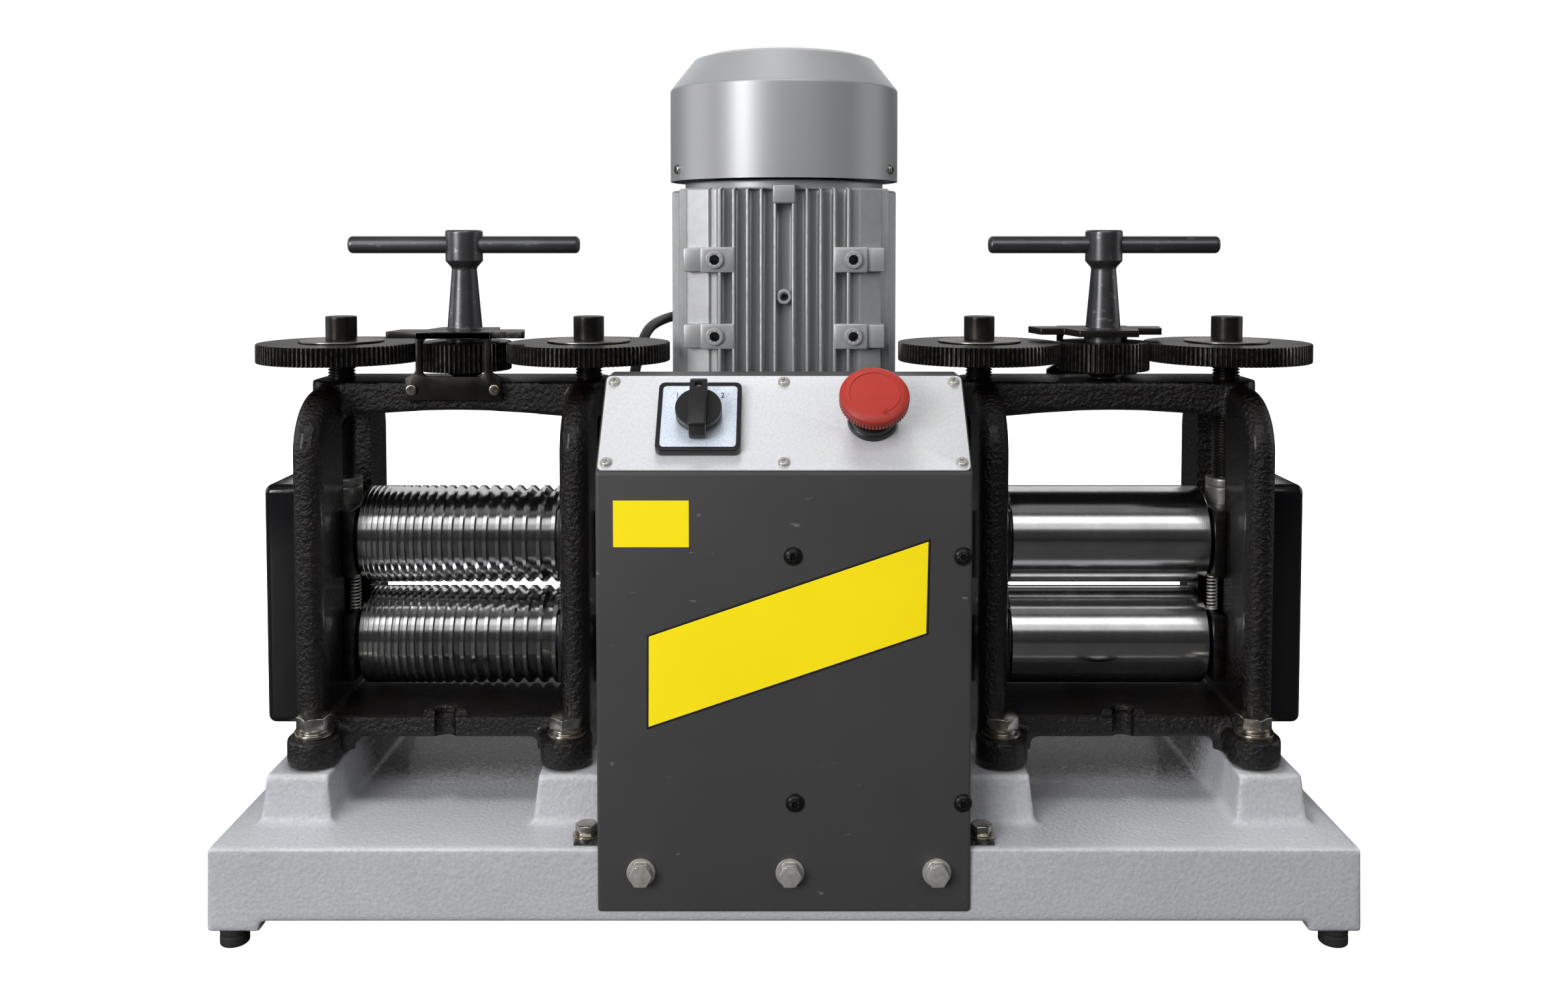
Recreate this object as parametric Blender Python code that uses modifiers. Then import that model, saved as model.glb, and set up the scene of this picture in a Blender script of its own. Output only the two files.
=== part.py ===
# Motor-driven double rolling mill for jewellers: a grooved wire head on the left, a plain sheet
# head on the right, and one worm gear motor between them that turns both pairs of rolls.
# Lengths are metres and angles radians. X runs along the rolls, Y to the back and Z up.

import math

import bmesh
import bpy
from mathutils import Matrix, Vector

# Overall layout
ROLL_PLANE_Y = -0.0215         # the roll axes' plane, ahead of the middle of the whole machine
FIT_GAP = 0.0003               # between pieces that touch or run in each other
OVERRUN = 0.010                # how far a cut runs past the face it opens
EDGE = 0.0012                  # small broken edge on machined and cast pieces
WELD = 0.000003                # corners nearer than this are one corner
FLAT_ANGLE = math.radians(0.05)  # faces that meet flatter than this are one face
FINE = 16                      # sides of the large round pieces
COARSE = 12                    # sides of shafts, screws and bores
ROUGH = 10                     # sides of cast lugs and bosses
SMALL = 8                      # sides of the smallest bores

# Base casting
BASE_BOTTOM = 0.0120           # on its feet, above the bench
BASE_HEIGHT = 0.0500
BASE_TOP = BASE_BOTTOM + BASE_HEIGHT
BASE_DEPTH = 0.2644
BASE_MARGIN = 0.0210           # from the outer bolting pads to the ends
BASE_DRAFT = 0.0015            # how much wider each side is at the bottom than at the top
BASE_WALL = 0.011
BASE_ROOF = 0.012
BASE_CORNER_PAD = 0.030
BASE_ARCH = 0.006              # height of the raised underside between the corner pads
FOOT_D = 0.017
FOOT_INSET = 0.0110
PAD_HEIGHT = 0.0290
PAD_TOP = BASE_TOP + PAD_HEIGHT
PAD_WIDTH = 0.0380
PAD_DRAFT = 0.0040
PAD_MARGIN = 0.0031            # ahead of and behind the heads' feet

# Screw-down gears on top, whose centres set the distance between the screws
TOOTH_MODULE = 0.0015
GEAR_TEETH = 72
PINION_TEETH = 40
ADDENDUM_SHARE = 0.88
DEDENDUM_SHARE = 1.24
SCREW_X = TOOTH_MODULE * (GEAR_TEETH + PINION_TEETH) / 2
GEAR_THICK = 0.0125
GEAR_DISC_D = 0.0560
GEAR_DISC_H = 0.0012
PINION_HEIGHT = 0.0190

# Frames
WALL_T = 0.0190
WALL_HALF_Y = 0.0755
WALL_CORNER = 0.0400
WALL_RIM = 0.0080              # rounding of the wall's rim on each face
WALL_DROP = 0.0024             # how far the walls end below the bridge's top
WINDOW_HALF_Y = 0.0300
WINDOW_CORNER = 0.0060
BRIDGE_END = 0.0165            # past the screws' axes
BRIDGE_HALF_Y = 0.0300
BRIDGE_CORNER = 0.0240
BRIDGE_T = 0.0234
BRIDGE_ARCH = 0.0045
ARCH_STEPS = 4
LUG_HEIGHT = 0.0170
LUG_INSET = 0.0045             # the feet stand this far inside the screws' axes
LUG_Y = 0.0760
LUG_D = 0.0330
LUG_TOP = PAD_TOP + LUG_HEIGHT
LUG_X = SCREW_X - LUG_INSET
FLOOR_RISE = 0.0120            # air under the floor plate, above the pads
FLOOR_T = 0.0140
FLOOR_BOTTOM = PAD_TOP + FLOOR_RISE
FLOOR_TOP = FLOOR_BOTTOM + FLOOR_T
FLOOR_HALF_Y = 0.0650
FLOOR_NOTCH_D = 0.0230
FLOOR_NOTCH_OUT = 0.0052       # the notch's middle, past the floor's edge
FLOOR_BOSS_D = 0.0330
FLOOR_BOSS_RISE = 0.0050
PAD_DEPTH = 2 * (LUG_Y + LUG_D / 2 + PAD_MARGIN)

# Bearing blocks
BLOCK_HALF_Z = 0.0222
BLOCK_SIDE = 0.0045            # how far a block's flanges reach past the window
BLOCK_INNER_FLANGE = 0.0070
BLOCK_OUTER_FLANGE = 0.0030
BLOCK_OUT_X = WALL_T / 2 + FIT_GAP + BLOCK_OUTER_FLANGE
BLOCK_IN_X = WALL_T / 2 + FIT_GAP + BLOCK_INNER_FLANGE
SPRING_D = 0.0074
SPRING_WIRE = 0.0010
SPRING_CURLS = 6
SPRING_POINTS = 8
SPRING_Y = 0.0210

# Rolls
ROLL_D = 0.0650
ROLL_COLLAR_T = 0.0009         # thin collar between a roll's end and its bearing block
ROLL_LENGTH = 2 * (SCREW_X - BLOCK_IN_X - FIT_GAP - ROLL_COLLAR_T)
ROLL_EDGE = 0.0010
ROLL_TO_FLOOR = 0.0019
LOWER_ROLL_Z = FLOOR_TOP + ROLL_TO_FLOOR + ROLL_D / 2
REST_GAP = 0.0042              # between the rolls as photographed
UPPER_ROLL_Z = LOWER_ROLL_Z + ROLL_D + REST_GAP
COLLAR_D = 0.0500
NECK_D = 0.0300
GEAR_SEAT_D = 0.0260
GROOVES = 20
GROOVE_FIRST = 0.0008          # width of the narrowest groove
GROOVE_LAST = 0.0075           # width of the widest one
GROOVE_ANGLE = math.radians(90)
END_LAND = 0.0034
GROOVED_STEPS = 11
PLAIN_STEPS = 16

# Roll gears, inside the covers at the outer ends
ROLL_GEAR_TEETH = 15
ROLL_GEAR_OVER = 0.0044        # teeth reach this far past the rolls' working face
ROLL_GEAR_UNDER = 0.0045
ROLL_GEAR_TIP = ROLL_D / 2 + ROLL_GEAR_OVER
ROLL_GEAR_ROOT = ROLL_D / 2 - ROLL_GEAR_UNDER
ROLL_GEAR_TIP_SHARE = 0.15
ROLL_GEAR_ROOT_SHARE = 0.43
ROLL_GEAR_WIDTH = 0.018

# Screws, and the heights on the bridge that they set
SCREW_D = 0.0160
SCREW_SHANK_D = 0.0145
SCREW_CAP_D = 0.0195
SCREW_CAP_H = 0.0167
SCREW_CAP_TOP = UPPER_ROLL_Z + BLOCK_HALF_Z + SCREW_CAP_H
SCREW_SHOWS = 0.0445           # length of thread between a bearing's cap and the bridge
BRIDGE_SIDE_Z = SCREW_CAP_TOP + SCREW_SHOWS
BRIDGE_TOP = BRIDGE_SIDE_Z + BRIDGE_T
WALL_TOP = BRIDGE_TOP - WALL_DROP
PINION_AIR = 0.0056            # between the bridge and the pinion
PINION_BOTTOM = BRIDGE_TOP + PINION_AIR
PINION_TOP = PINION_BOTTOM + PINION_HEIGHT
GEAR_LIFT = 0.0060             # the large gears' lower face above the pinion's
GEAR_BOTTOM = PINION_BOTTOM + GEAR_LIFT
POST_D = 0.0205
POST_H = 0.0162

# Bracket
BRACKET_T = 0.0045
BRACKET_AIR = 0.0040           # over the pinion
BRACKET_TOP = PINION_TOP + BRACKET_AIR + BRACKET_T
BRACKET_FOOT_WIDTH = 0.0630
BRACKET_FOOT_DROP = 0.0116     # how far the foot plate hangs below the bridge's top
BRACKET_FOOT_H = 0.0142
BRACKET_LEG_OUT = 0.0245
BRACKET_WINDOW_HALF = 0.0205
BRACKET_WINDOW_CORNER = 0.0040
BRACKET_WING_HALF = 0.0460
BRACKET_WING_FRONT = 0.0290
BRACKET_WING_BACK = 0.0050
BRACKET_NOSE_BACK = 0.0180

# Handle
PIVOT_D = 0.0140
PIVOT_DEPTH = 0.0150
HANDLE_COLLAR_D = 0.0250
CONE_D = 0.0232
CONE_STEP = 0.0007             # from the bracket's top to the foot of the cone
CONE_HEIGHT = 0.0406
NECK_TOP_D = 0.0164
NECK_FLARE = 0.0048
HUB_D = 0.0247
HUB_HEIGHT = 0.0208
BAR_D = 0.0116
BAR_LENGTH = 0.1560
BAR_ROUND = 0.0030
BAR_RISE = 0.0109              # the bar's axis above the hub's lower edge
CONE_FOOT_Z = BRACKET_TOP + CONE_STEP
NECK_TOP_Z = CONE_FOOT_Z + CONE_HEIGHT
HUB_BOTTOM = NECK_TOP_Z + NECK_FLARE
HUB_TOP = HUB_BOTTOM + HUB_HEIGHT
BAR_Z = HUB_BOTTOM + BAR_RISE

# Roll gear covers
COVER_T = 0.0020
COVER_EDGE = 0.0050
COVER_END_ROOM = 0.0021        # between the rolls' outer ends and the cover
COVER_TOP_ROOM = 0.0025        # over the upper gear as photographed
COVER_SUMP = 0.0078            # under the lower gear
COVER_SIDE_ROOM = 0.0066
COVER_REACH = (BLOCK_OUTER_FLANGE + FIT_GAP + ROLL_GEAR_WIDTH + 2 * EDGE + COVER_END_ROOM
               + COVER_T)
COVER_TOP = UPPER_ROLL_Z + ROLL_GEAR_TIP + COVER_TOP_ROOM + COVER_T
COVER_BOTTOM = LOWER_ROLL_Z - ROLL_GEAR_TIP - COVER_SUMP - COVER_T
COVER_HALF_Y = ROLL_GEAR_TIP + COVER_SIDE_ROOM + COVER_T

# Front cover
COVER_HALF_X = 0.10985
COVER_TO_HEAD = 0.01065        # air between the cover's sides and the heads' feet
HEAD_X = COVER_HALF_X + COVER_TO_HEAD + LUG_D / 2 + LUG_X
BASE_LENGTH = 2 * (HEAD_X + SCREW_X + PAD_WIDTH / 2 + BASE_MARGIN)
SHEET_T = 0.0015
SHEET_LIFT = 0.0130            # lower edge above the base's lower edge
SHEET_FRONT_H = 0.2607
SHEET_BOTTOM = BASE_BOTTOM + SHEET_LIFT
SHEET_BEND_Z = SHEET_BOTTOM + SHEET_FRONT_H
SHEET_FRONT_Y = -(BASE_DEPTH / 2 + BASE_DRAFT + FIT_GAP + SHEET_T)
PANEL_SLANT_Y = 0.0490
PANEL_SLANT_Z = 0.0511
PANEL_TILT = math.atan2(PANEL_SLANT_Z, PANEL_SLANT_Y)
PANEL_SLANT = math.hypot(PANEL_SLANT_Y, PANEL_SLANT_Z)
COVER_SIDE_DEPTH = 0.0825      # of the side walls, from the front
COVER_SIDE_BACK = -SHEET_FRONT_Y - COVER_SIDE_DEPTH
TAB_REACH = 0.0150
TAB_WIDTH = 0.0220
TAB_IN = 0.0175                # from the front to the middle of a tab

# Worm gearbox and drive line
BOX_DRUM_R = 0.0600
BOX_HUB_R = 0.0340
BOX_HUB_PROUD = 0.0100         # beyond the drum's ends
WORM_Y = 0.0630
BOX_WORM_HALF_X = 0.0420
BOX_WORM_HALF_Y = 0.0400
BOX_WORM_LIFT = 0.0280
BOX_WORM_EDGE = 0.0036
BOX_RISE = 0.0886              # from the output shaft up to the motor flange
BOX_WORM_BOTTOM = BASE_TOP + BOX_WORM_LIFT
BOX_FLANGE_Z = LOWER_ROLL_Z + BOX_RISE
BOX_FLANGE_T = 0.0095
MOTOR_FLANGE_D = 0.1280
BOX_FOOT_T = 0.0120
BOX_FOOT_FRONT = 0.0560
BOX_FOOT_BACK = 0.1080
SHAFT_D = 0.0280
SLEEVE_D = 0.0480
SLEEVE_LENGTH = 0.0380
SLEEVE_AIR = 0.0047            # between a sleeve and the inner bearing
SLEEVE_TO_HUB = 0.0170         # between a sleeve and the gearbox
SHAFT_END_X = HEAD_X - SCREW_X - BLOCK_OUT_X - SLEEVE_AIR - SLEEVE_LENGTH / 2
BOX_HUB_X = SHAFT_END_X - SLEEVE_LENGTH / 2 - SLEEVE_TO_HUB
BOX_HALF_X = BOX_HUB_X - BOX_HUB_PROUD

# Motor
MOTOR_BOTTOM = BOX_FLANGE_Z + BOX_FLANGE_T + FIT_GAP
MOTOR_FLANGE_T = 0.0120
MOTOR_HEIGHT = 0.2022
MOTOR_TOP = MOTOR_BOTTOM + MOTOR_HEIGHT
MOTOR_HALF_X = 0.0800
MOTOR_HALF_Y = 0.0775
MOTOR_FIN_DEPTH = 0.0130
MOTOR_FIN_T = 0.0024
MOTOR_FIN_PITCH = 0.0092
MOTOR_CHANNEL = 0.0122
MOTOR_FRONT_FINS = 5           # on each side of the middle channel
MOTOR_SIDE_FINS = 3
MOTOR_FLAT_STEP = 0.0065       # how far the corner flats lie inside the side fins
MOTOR_FLAT_Y = 0.0162
SHIELD_D = 0.1280
SHIELD_H = 0.0120
SHIELD_TOP = MOTOR_TOP + SHIELD_H
SHIELD_LUG_ANGLE = math.radians(23)
SHIELD_LUG_WIDTH = 0.0140
BOSS_X = 0.0463
BOSS_WIDTH = 0.0300
BOSS_HEIGHT = 0.0160
BOSS_REACH = 0.0020            # how far a boss stands ahead of the fins
BOSS_HOLE_D = 0.0068
BOSS_HOLE_DEPTH = 0.0140
BOSS_LIFT = 0.1065             # the lower bosses' axis above the motor's flange
BOSS_PITCH = 0.0512
BOSS_Z_LOWER = MOTOR_BOTTOM + BOSS_LIFT
ROTOR_SHAFT_D = 0.0190
ROTOR_DROP = 0.0364            # the worm end below the output shaft's axis
ROTOR_BOTTOM = LOWER_ROLL_Z - ROTOR_DROP
FAN_AIR = 0.0080               # between the end shield and the fan
FAN_Z = SHIELD_TOP + FAN_AIR
FAN_HEIGHT = 0.0240
FAN_HUB_D = 0.0360
FAN_R = 0.0660
FAN_DISC_T = 0.0030
FAN_BLADE_T = 0.0030
FAN_BLADES = 6
COWL_D = 0.1630
COWL_T = 0.0020
COWL_LIFT = 0.0035             # its lower edge above the motor's body
COWL_HEAD_AIR = 0.0310         # between the fan and the shoulder
COWL_SHOULDER_H = 0.0190
COWL_CROWN_H = 0.0050
COWL_BOTTOM = MOTOR_TOP + COWL_LIFT
COWL_SHOULDER_Z = FAN_Z + FAN_HEIGHT + COWL_HEAD_AIR
COWL_RIM_Z = COWL_SHOULDER_Z + COWL_SHOULDER_H
COWL_TOP_Z = COWL_RIM_Z + COWL_CROWN_H
COWL_TOP_D = 0.1220
COWL_TOP_ROUND = 0.0070
COWL_SLOTS = 6
COWL_SLOT_WIDTH = 0.0060
COWL_SLOT_IN = 0.0200
COWL_SLOT_OUT = 0.0480
TERMINAL_WIDTH = 0.0920
TERMINAL_DEPTH = 0.0460
TERMINAL_HEIGHT = 0.0920
TERMINAL_LIFT = 0.1402         # its middle above the motor's flange
TERMINAL_LID = 0.0140
TERMINAL_GROOVE = 0.0015
TERMINAL_EDGE = 0.0024
TERMINAL_Z = MOTOR_BOTTOM + TERMINAL_LIFT
GLAND_D = 0.0180
GLAND_LENGTH = 0.0140
GLAND_DROP = 0.0260
GLAND_Z = TERMINAL_Z - GLAND_DROP
GLAND_Y = WORM_Y + MOTOR_HALF_Y + TERMINAL_DEPTH / 2 - GLAND_D / 4
CABLE_D = 0.0076
CABLE_STEP = 2 * CABLE_D       # between the points of its curve
# The cable's way round the motor: left of its axis as shares of its half width, behind the
# output shaft as shares of the worm's distance, and up as shares of the gland's height
CABLE_ROUTE_SHARES = ((1.12, 2.19, 0.99), (1.26, 1.59, 0.975), (1.31, 1.17, 0.942),
                      (1.35, 0.95, 0.893), (1.33, 0.67, 0.838), (1.20, 0.16, 0.780),
                      (0.95, -0.48, 0.731))

# Controls
PANEL_WIDTH = 0.2170
PANEL_MARGIN = 0.0008
PANEL_T = 0.0015
PANEL_CORNER = 0.0030
SWITCH_X = -0.0504
SWITCH_SIDE = 0.0500
SWITCH_H = 0.0060
SWITCH_CORNER = 0.0035
SWITCH_BODY_SIDE = 0.0430
SWITCH_BODY_DEPTH = 0.0380
KNOB_D = 0.0276
KNOB_H = 0.0070
KNOB_NECK_D = 0.0180
KNOB_NECK_H = 0.0020
GRIP_WIDTH = 0.0090
GRIP_LENGTH = 0.0350
GRIP_H = 0.0150
ESTOP_X = 0.0527
ESTOP_BARREL_D = 0.0220
ESTOP_BARREL_DEPTH = 0.0300
ESTOP_COLLAR_D = 0.0300
ESTOP_COLLAR_H = 0.0070
ESTOP_BORE_D = 0.0150
ESTOP_STEM_D = 0.0140
ESTOP_STEM_BACK = 0.0240
ESTOP_TRAVEL = 0.0050
ESTOP_SKIRT_D = 0.0270
ESTOP_SKIRT_TOP_D = 0.0330
ESTOP_RIM_BOTTOM = 0.0190
ESTOP_RIM_H = 0.0045
ESTOP_RIM_TOP = ESTOP_RIM_BOTTOM + ESTOP_RIM_H
ESTOP_HEAD_D = 0.0412
ESTOP_CROWN_H = 0.0050
ESTOP_HEAD_TOP = ESTOP_RIM_TOP + ESTOP_CROWN_H
ESTOP_CROWN_D = 0.0272

# Values that follow
GEAR_TIP_R = TOOTH_MODULE * (GEAR_TEETH / 2 + ADDENDUM_SHARE)
GEAR_ROOT_R = TOOTH_MODULE * (GEAR_TEETH / 2 - DEDENDUM_SHARE)
PINION_TIP_R = TOOTH_MODULE * (PINION_TEETH / 2 + ADDENDUM_SHARE)
PINION_ROOT_R = TOOTH_MODULE * (PINION_TEETH / 2 - DEDENDUM_SHARE)
SPRING_FROM_SCREW = SCREW_X - (ROLL_LENGTH / 2 + FIT_GAP + SPRING_D / 2)
LOWER_BLOCK_TOP = LOWER_ROLL_Z + BLOCK_HALF_Z
UPPER_BLOCK_BOTTOM = UPPER_ROLL_Z - BLOCK_HALF_Z


# Scene, materials and shared shapes

def clear_scene():
    for item in list(bpy.data.objects):
        bpy.data.objects.remove(item, do_unlink=True)


def collection(name):
    group = bpy.data.collections.get(name) or bpy.data.collections.new(name)
    if name not in bpy.context.scene.collection.children:
        bpy.context.scene.collection.children.link(group)
    return group


def material(name, colour, roughness, metallic):
    existing = bpy.data.materials.get(name)
    if existing:
        return existing
    made = bpy.data.materials.new(name)
    made.use_nodes = True
    shader = made.node_tree.nodes["Principled BSDF"]
    shader.inputs["Base Color"].default_value = (*colour, 1.0)
    shader.inputs["Roughness"].default_value = roughness
    shader.inputs["Metallic"].default_value = metallic
    return made


def scratch(mesh):
    """A working object that shapes are cut and joined with."""
    item = bpy.data.objects.new("working_shape", mesh)
    collection("cutters").objects.link(item)
    item.hide_render = True
    item.display_type = "WIRE"
    return item


def settle(item):
    """Turn an object's modifiers, or its curve, into a plain welded mesh."""
    graph = bpy.context.evaluated_depsgraph_get()
    graph.update()
    mesh = bpy.data.meshes.new_from_object(item.evaluated_get(graph))
    work = bmesh.new()
    work.from_mesh(mesh)
    bmesh.ops.remove_doubles(work, verts=work.verts, dist=WELD)
    bmesh.ops.dissolve_limit(work, angle_limit=FLAT_ANGLE, verts=work.verts, edges=work.edges)
    bmesh.ops.dissolve_degenerate(work, edges=work.edges, dist=WELD)
    bmesh.ops.recalc_face_normals(work, faces=work.faces)
    work.to_mesh(mesh)
    work.free()
    settled = scratch(mesh)
    settled.matrix_world = item.matrix_world
    bpy.data.objects.remove(item, do_unlink=True)
    return settled


def boolean(item, other, operation):
    step = item.modifiers.new("boolean", "BOOLEAN")
    step.operation = operation
    step.solver = "EXACT"
    step.object = other
    result = settle(item)
    bpy.data.objects.remove(other, do_unlink=True)
    return result


def cut(item, *cutters):
    for cutter in cutters:
        item = boolean(item, cutter, "DIFFERENCE")
    return item


def join(item, *others):
    for other in others:
        item = boolean(item, other, "UNION")
    return item


def block(size, centre):
    """A box from its three sizes and its middle."""
    work = bmesh.new()
    bmesh.ops.create_cube(work, size=1)
    mesh = bpy.data.meshes.new("block")
    work.to_mesh(mesh)
    work.free()
    mesh.transform(Matrix.Translation(centre) @ Matrix.Diagonal((*size, 1)))
    return scratch(mesh)


def span(low, high):
    """A box from two opposite corners."""
    size = [b - a for a, b in zip(low, high)]
    centre = [(a + b) / 2 for a, b in zip(low, high)]
    return block(size, centre)


def rod(radius, start, end, steps):
    """A cylinder between two points."""
    start, end = Vector(start), Vector(end)
    work = bmesh.new()
    bmesh.ops.create_cone(work, cap_ends=True, segments=steps, radius1=radius, radius2=radius,
                          depth=(end - start).length)
    mesh = bpy.data.meshes.new("rod")
    work.to_mesh(mesh)
    work.free()
    turn = (end - start).to_track_quat("Z", "Y").to_matrix().to_4x4()
    mesh.transform(Matrix.Translation((start + end) / 2) @ turn)
    return scratch(mesh)


def plate(outline, thickness, holes=()):
    """A flat outline in XY, thickened upwards from Z = 0; holes are further outlines."""
    curve = bpy.data.curves.new("outline", "CURVE")
    curve.dimensions = "2D"
    curve.fill_mode = "BOTH"
    curve.extrude = thickness / 2
    for points in (outline, *holes):
        line = curve.splines.new("POLY")
        line.points.add(len(points) - 1)
        for point, (x, y) in zip(line.points, points):
            point.co = (x, y, 0, 1)
        line.use_cyclic_u = True
    item = bpy.data.objects.new("outline", curve)
    collection("cutters").objects.link(item)
    item = settle(item)
    item.data.transform(Matrix.Translation((0, 0, thickness / 2)))
    return item


def stand_up(item, x=0, y=0, z=0):
    """Turn a plate's outline from XY to YZ, its thickness along +X."""
    turn = Matrix(((0, 0, 1, x), (1, 0, 0, y), (0, 1, 0, z), (0, 0, 0, 1)))
    item.data.transform(turn)
    return item


def face_front(item, x=0, y=0, z=0):
    """Turn a plate's outline from XY to XZ, its thickness along +Y."""
    turn = Matrix(((1, 0, 0, x), (0, 0, 1, y), (0, 1, 0, z), (0, 0, 0, 1)))
    item.data.transform(turn)
    work = bmesh.new()
    work.from_mesh(item.data)
    bmesh.ops.recalc_face_normals(work, faces=work.faces)
    work.to_mesh(item.data)
    work.free()
    return item


def turned(profile, steps, closed=False):
    """A solid of revolution about Z; the profile runs down its outer side as (radius, height)."""
    mesh = bpy.data.meshes.new("profile")
    count = len(profile)
    edges = [(i, i + 1) for i in range(count - 1)] + ([(count - 1, 0)] if closed else [])
    mesh.from_pydata([(radius, 0, height) for radius, height in profile], edges, [])
    item = scratch(mesh)
    screw = item.modifiers.new("turn", "SCREW")
    screw.steps = steps
    screw.render_steps = steps
    screw.use_merge_vertices = True
    screw.merge_threshold = WELD
    return settle(item)


def along_x(item, x=0, y=0, z=0):
    """Lay a piece that was made along Z down along +X."""
    item.data.transform(Matrix.Translation((x, y, z)) @ Matrix.Rotation(math.pi / 2, 4, "Y"))
    return item


def rounded_corner(x, y, radius, start, steps=2):
    """Points of a quarter arc about (x, y), beginning at the angle start."""
    return [(x + radius * math.cos(start + math.pi / 2 * i / steps),
             y + radius * math.sin(start + math.pi / 2 * i / steps)) for i in range(steps + 1)]


def rounded_rectangle(low_x, high_x, low_y, high_y, radius, steps=3):
    quarter = math.pi / 2
    return (rounded_corner(high_x - radius, high_y - radius, radius, 0, steps)
            + rounded_corner(low_x + radius, high_y - radius, radius, quarter, steps)
            + rounded_corner(low_x + radius, low_y + radius, radius, 2 * quarter, steps)
            + rounded_corner(high_x - radius, low_y + radius, radius, 3 * quarter, steps))


def clear_radius(radius, steps):
    """Corner radius of a bore with flat sides that clears a round of the given radius."""
    return (radius + FIT_GAP) / math.cos(math.pi / steps)


def circle(radius, steps, x=0, y=0):
    return [(x + radius * math.cos(2 * math.pi * i / steps),
             y + radius * math.sin(2 * math.pi * i / steps)) for i in range(steps)]


def tube(points, diameter, resolution, cyclic=False):
    """A round bar along hand-placed or computed points, with filled ends."""
    curve = bpy.data.curves.new("tube", "CURVE")
    curve.dimensions = "3D"
    curve.bevel_depth = diameter / 2
    curve.bevel_resolution = resolution
    curve.use_fill_caps = True
    line = curve.splines.new("POLY")
    line.points.add(len(points) - 1)
    for point, place in zip(line.points, points):
        point.co = (*place, 1)
    line.use_cyclic_u = cyclic
    item = bpy.data.objects.new("tube", curve)
    collection("cutters").objects.link(item)
    return settle(item)


def soften(item, width, steps=1, angle=math.radians(50)):
    """Break the sharp edges."""
    bevel = item.modifiers.new("edges", "BEVEL")
    bevel.width = width
    bevel.segments = steps
    bevel.limit_method = "ANGLE"
    bevel.angle_limit = angle
    return settle(item)


def publish(shape, name, finish, parent, place=(0, 0, 0), turn=(0, 0, 0), smooth=True):
    """Name a finished shape, give it its material and hang it on its parent."""
    mesh = shape.data
    bpy.data.objects.remove(shape, do_unlink=True)
    return copy_of(mesh, name, finish, parent, place, turn, smooth)


def copy_of(mesh, name, finish, parent, place=(0, 0, 0), turn=(0, 0, 0), smooth=True):
    mesh.name = name
    if not mesh.materials:
        mesh.materials.append(finish)
    if smooth:
        mesh.shade_smooth()
        mesh.set_sharp_from_angle(angle=math.radians(35))
    item = bpy.data.objects.new(name, mesh)
    collection("jewellers_rolling_mill").objects.link(item)
    item.parent = parent
    item.location = place
    item.rotation_euler = turn
    return item


def empty(name, parent=None, place=(0, 0, 0), turn=(0, 0, 0)):
    item = bpy.data.objects.new(name, None)
    collection("jewellers_rolling_mill").objects.link(item)
    item.parent = parent
    item.location = place
    item.rotation_euler = turn
    return item


# Toothed outlines

def toothed_outline(teeth, tip, root, tip_share, root_share, first):
    """A spur gear's outline, its first tooth at the angle first.

    A share of 0 makes the tip or the root a single sharp edge."""
    pitch = 2 * math.pi / teeth
    points = []
    for tooth in range(teeth):
        corners = [(tip, -tip_share / 2), (tip, tip_share / 2)] if tip_share else [(tip, 0)]
        if root_share:
            corners = [(root, -(1 - root_share) / 2), *corners, (root, (1 - root_share) / 2)]
        else:
            corners = [(root, -1 / 2), *corners]
        for radius, offset in corners:
            angle = first + (tooth + offset) * pitch
            points.append((radius * math.cos(angle), radius * math.sin(angle)))
    return points


# Materials

def black_cast():
    return material("black_cast_iron", (0.018, 0.018, 0.019), 0.45, 0.2)


def black_oxide():
    return material("black_oxide_steel", (0.030, 0.029, 0.030), 0.38, 0.8)


def roll_steel():
    return material("polished_roll_steel", (0.62, 0.62, 0.63), 0.16, 1.0)


def grey_paint():
    return material("grey_hammer_paint", (0.47, 0.49, 0.53), 0.45, 0.0)


def silver_paint():
    return material("silver_motor_paint", (0.50, 0.52, 0.54), 0.38, 0.55)


# Base and feet

def base_casting(root):
    half_x, half_y = BASE_LENGTH / 2, BASE_DEPTH / 2
    work = bmesh.new()
    bmesh.ops.create_cube(work, size=1)
    mesh = bpy.data.meshes.new("base")
    for corner in work.verts:
        draft = BASE_DRAFT if corner.co.z < 0 else 0
        corner.co.x = math.copysign(half_x + draft, corner.co.x)
        corner.co.y = math.copysign(half_y + draft, corner.co.y)
        corner.co.z = BASE_BOTTOM if corner.co.z < 0 else BASE_TOP
    work.to_mesh(mesh)
    work.free()
    base = soften(scratch(mesh), EDGE)
    hollow = span((-half_x + BASE_WALL, -half_y + BASE_WALL, BASE_BOTTOM - OVERRUN),
                  (half_x - BASE_WALL, half_y - BASE_WALL, BASE_TOP - BASE_ROOF))
    arch_x = span((-half_x + BASE_CORNER_PAD, -half_y - OVERRUN, BASE_BOTTOM - OVERRUN),
                  (half_x - BASE_CORNER_PAD, half_y + OVERRUN, BASE_BOTTOM + BASE_ARCH))
    base = cut(base, hollow, arch_x)
    for x in pad_places():
        base = join(base, bolting_pad(x))
    publish(base, "base_casting", grey_paint(), root)


def pad_places():
    return [side * (HEAD_X + inner * SCREW_X) for side in (-1, 1) for inner in (-1, 1)]


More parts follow.
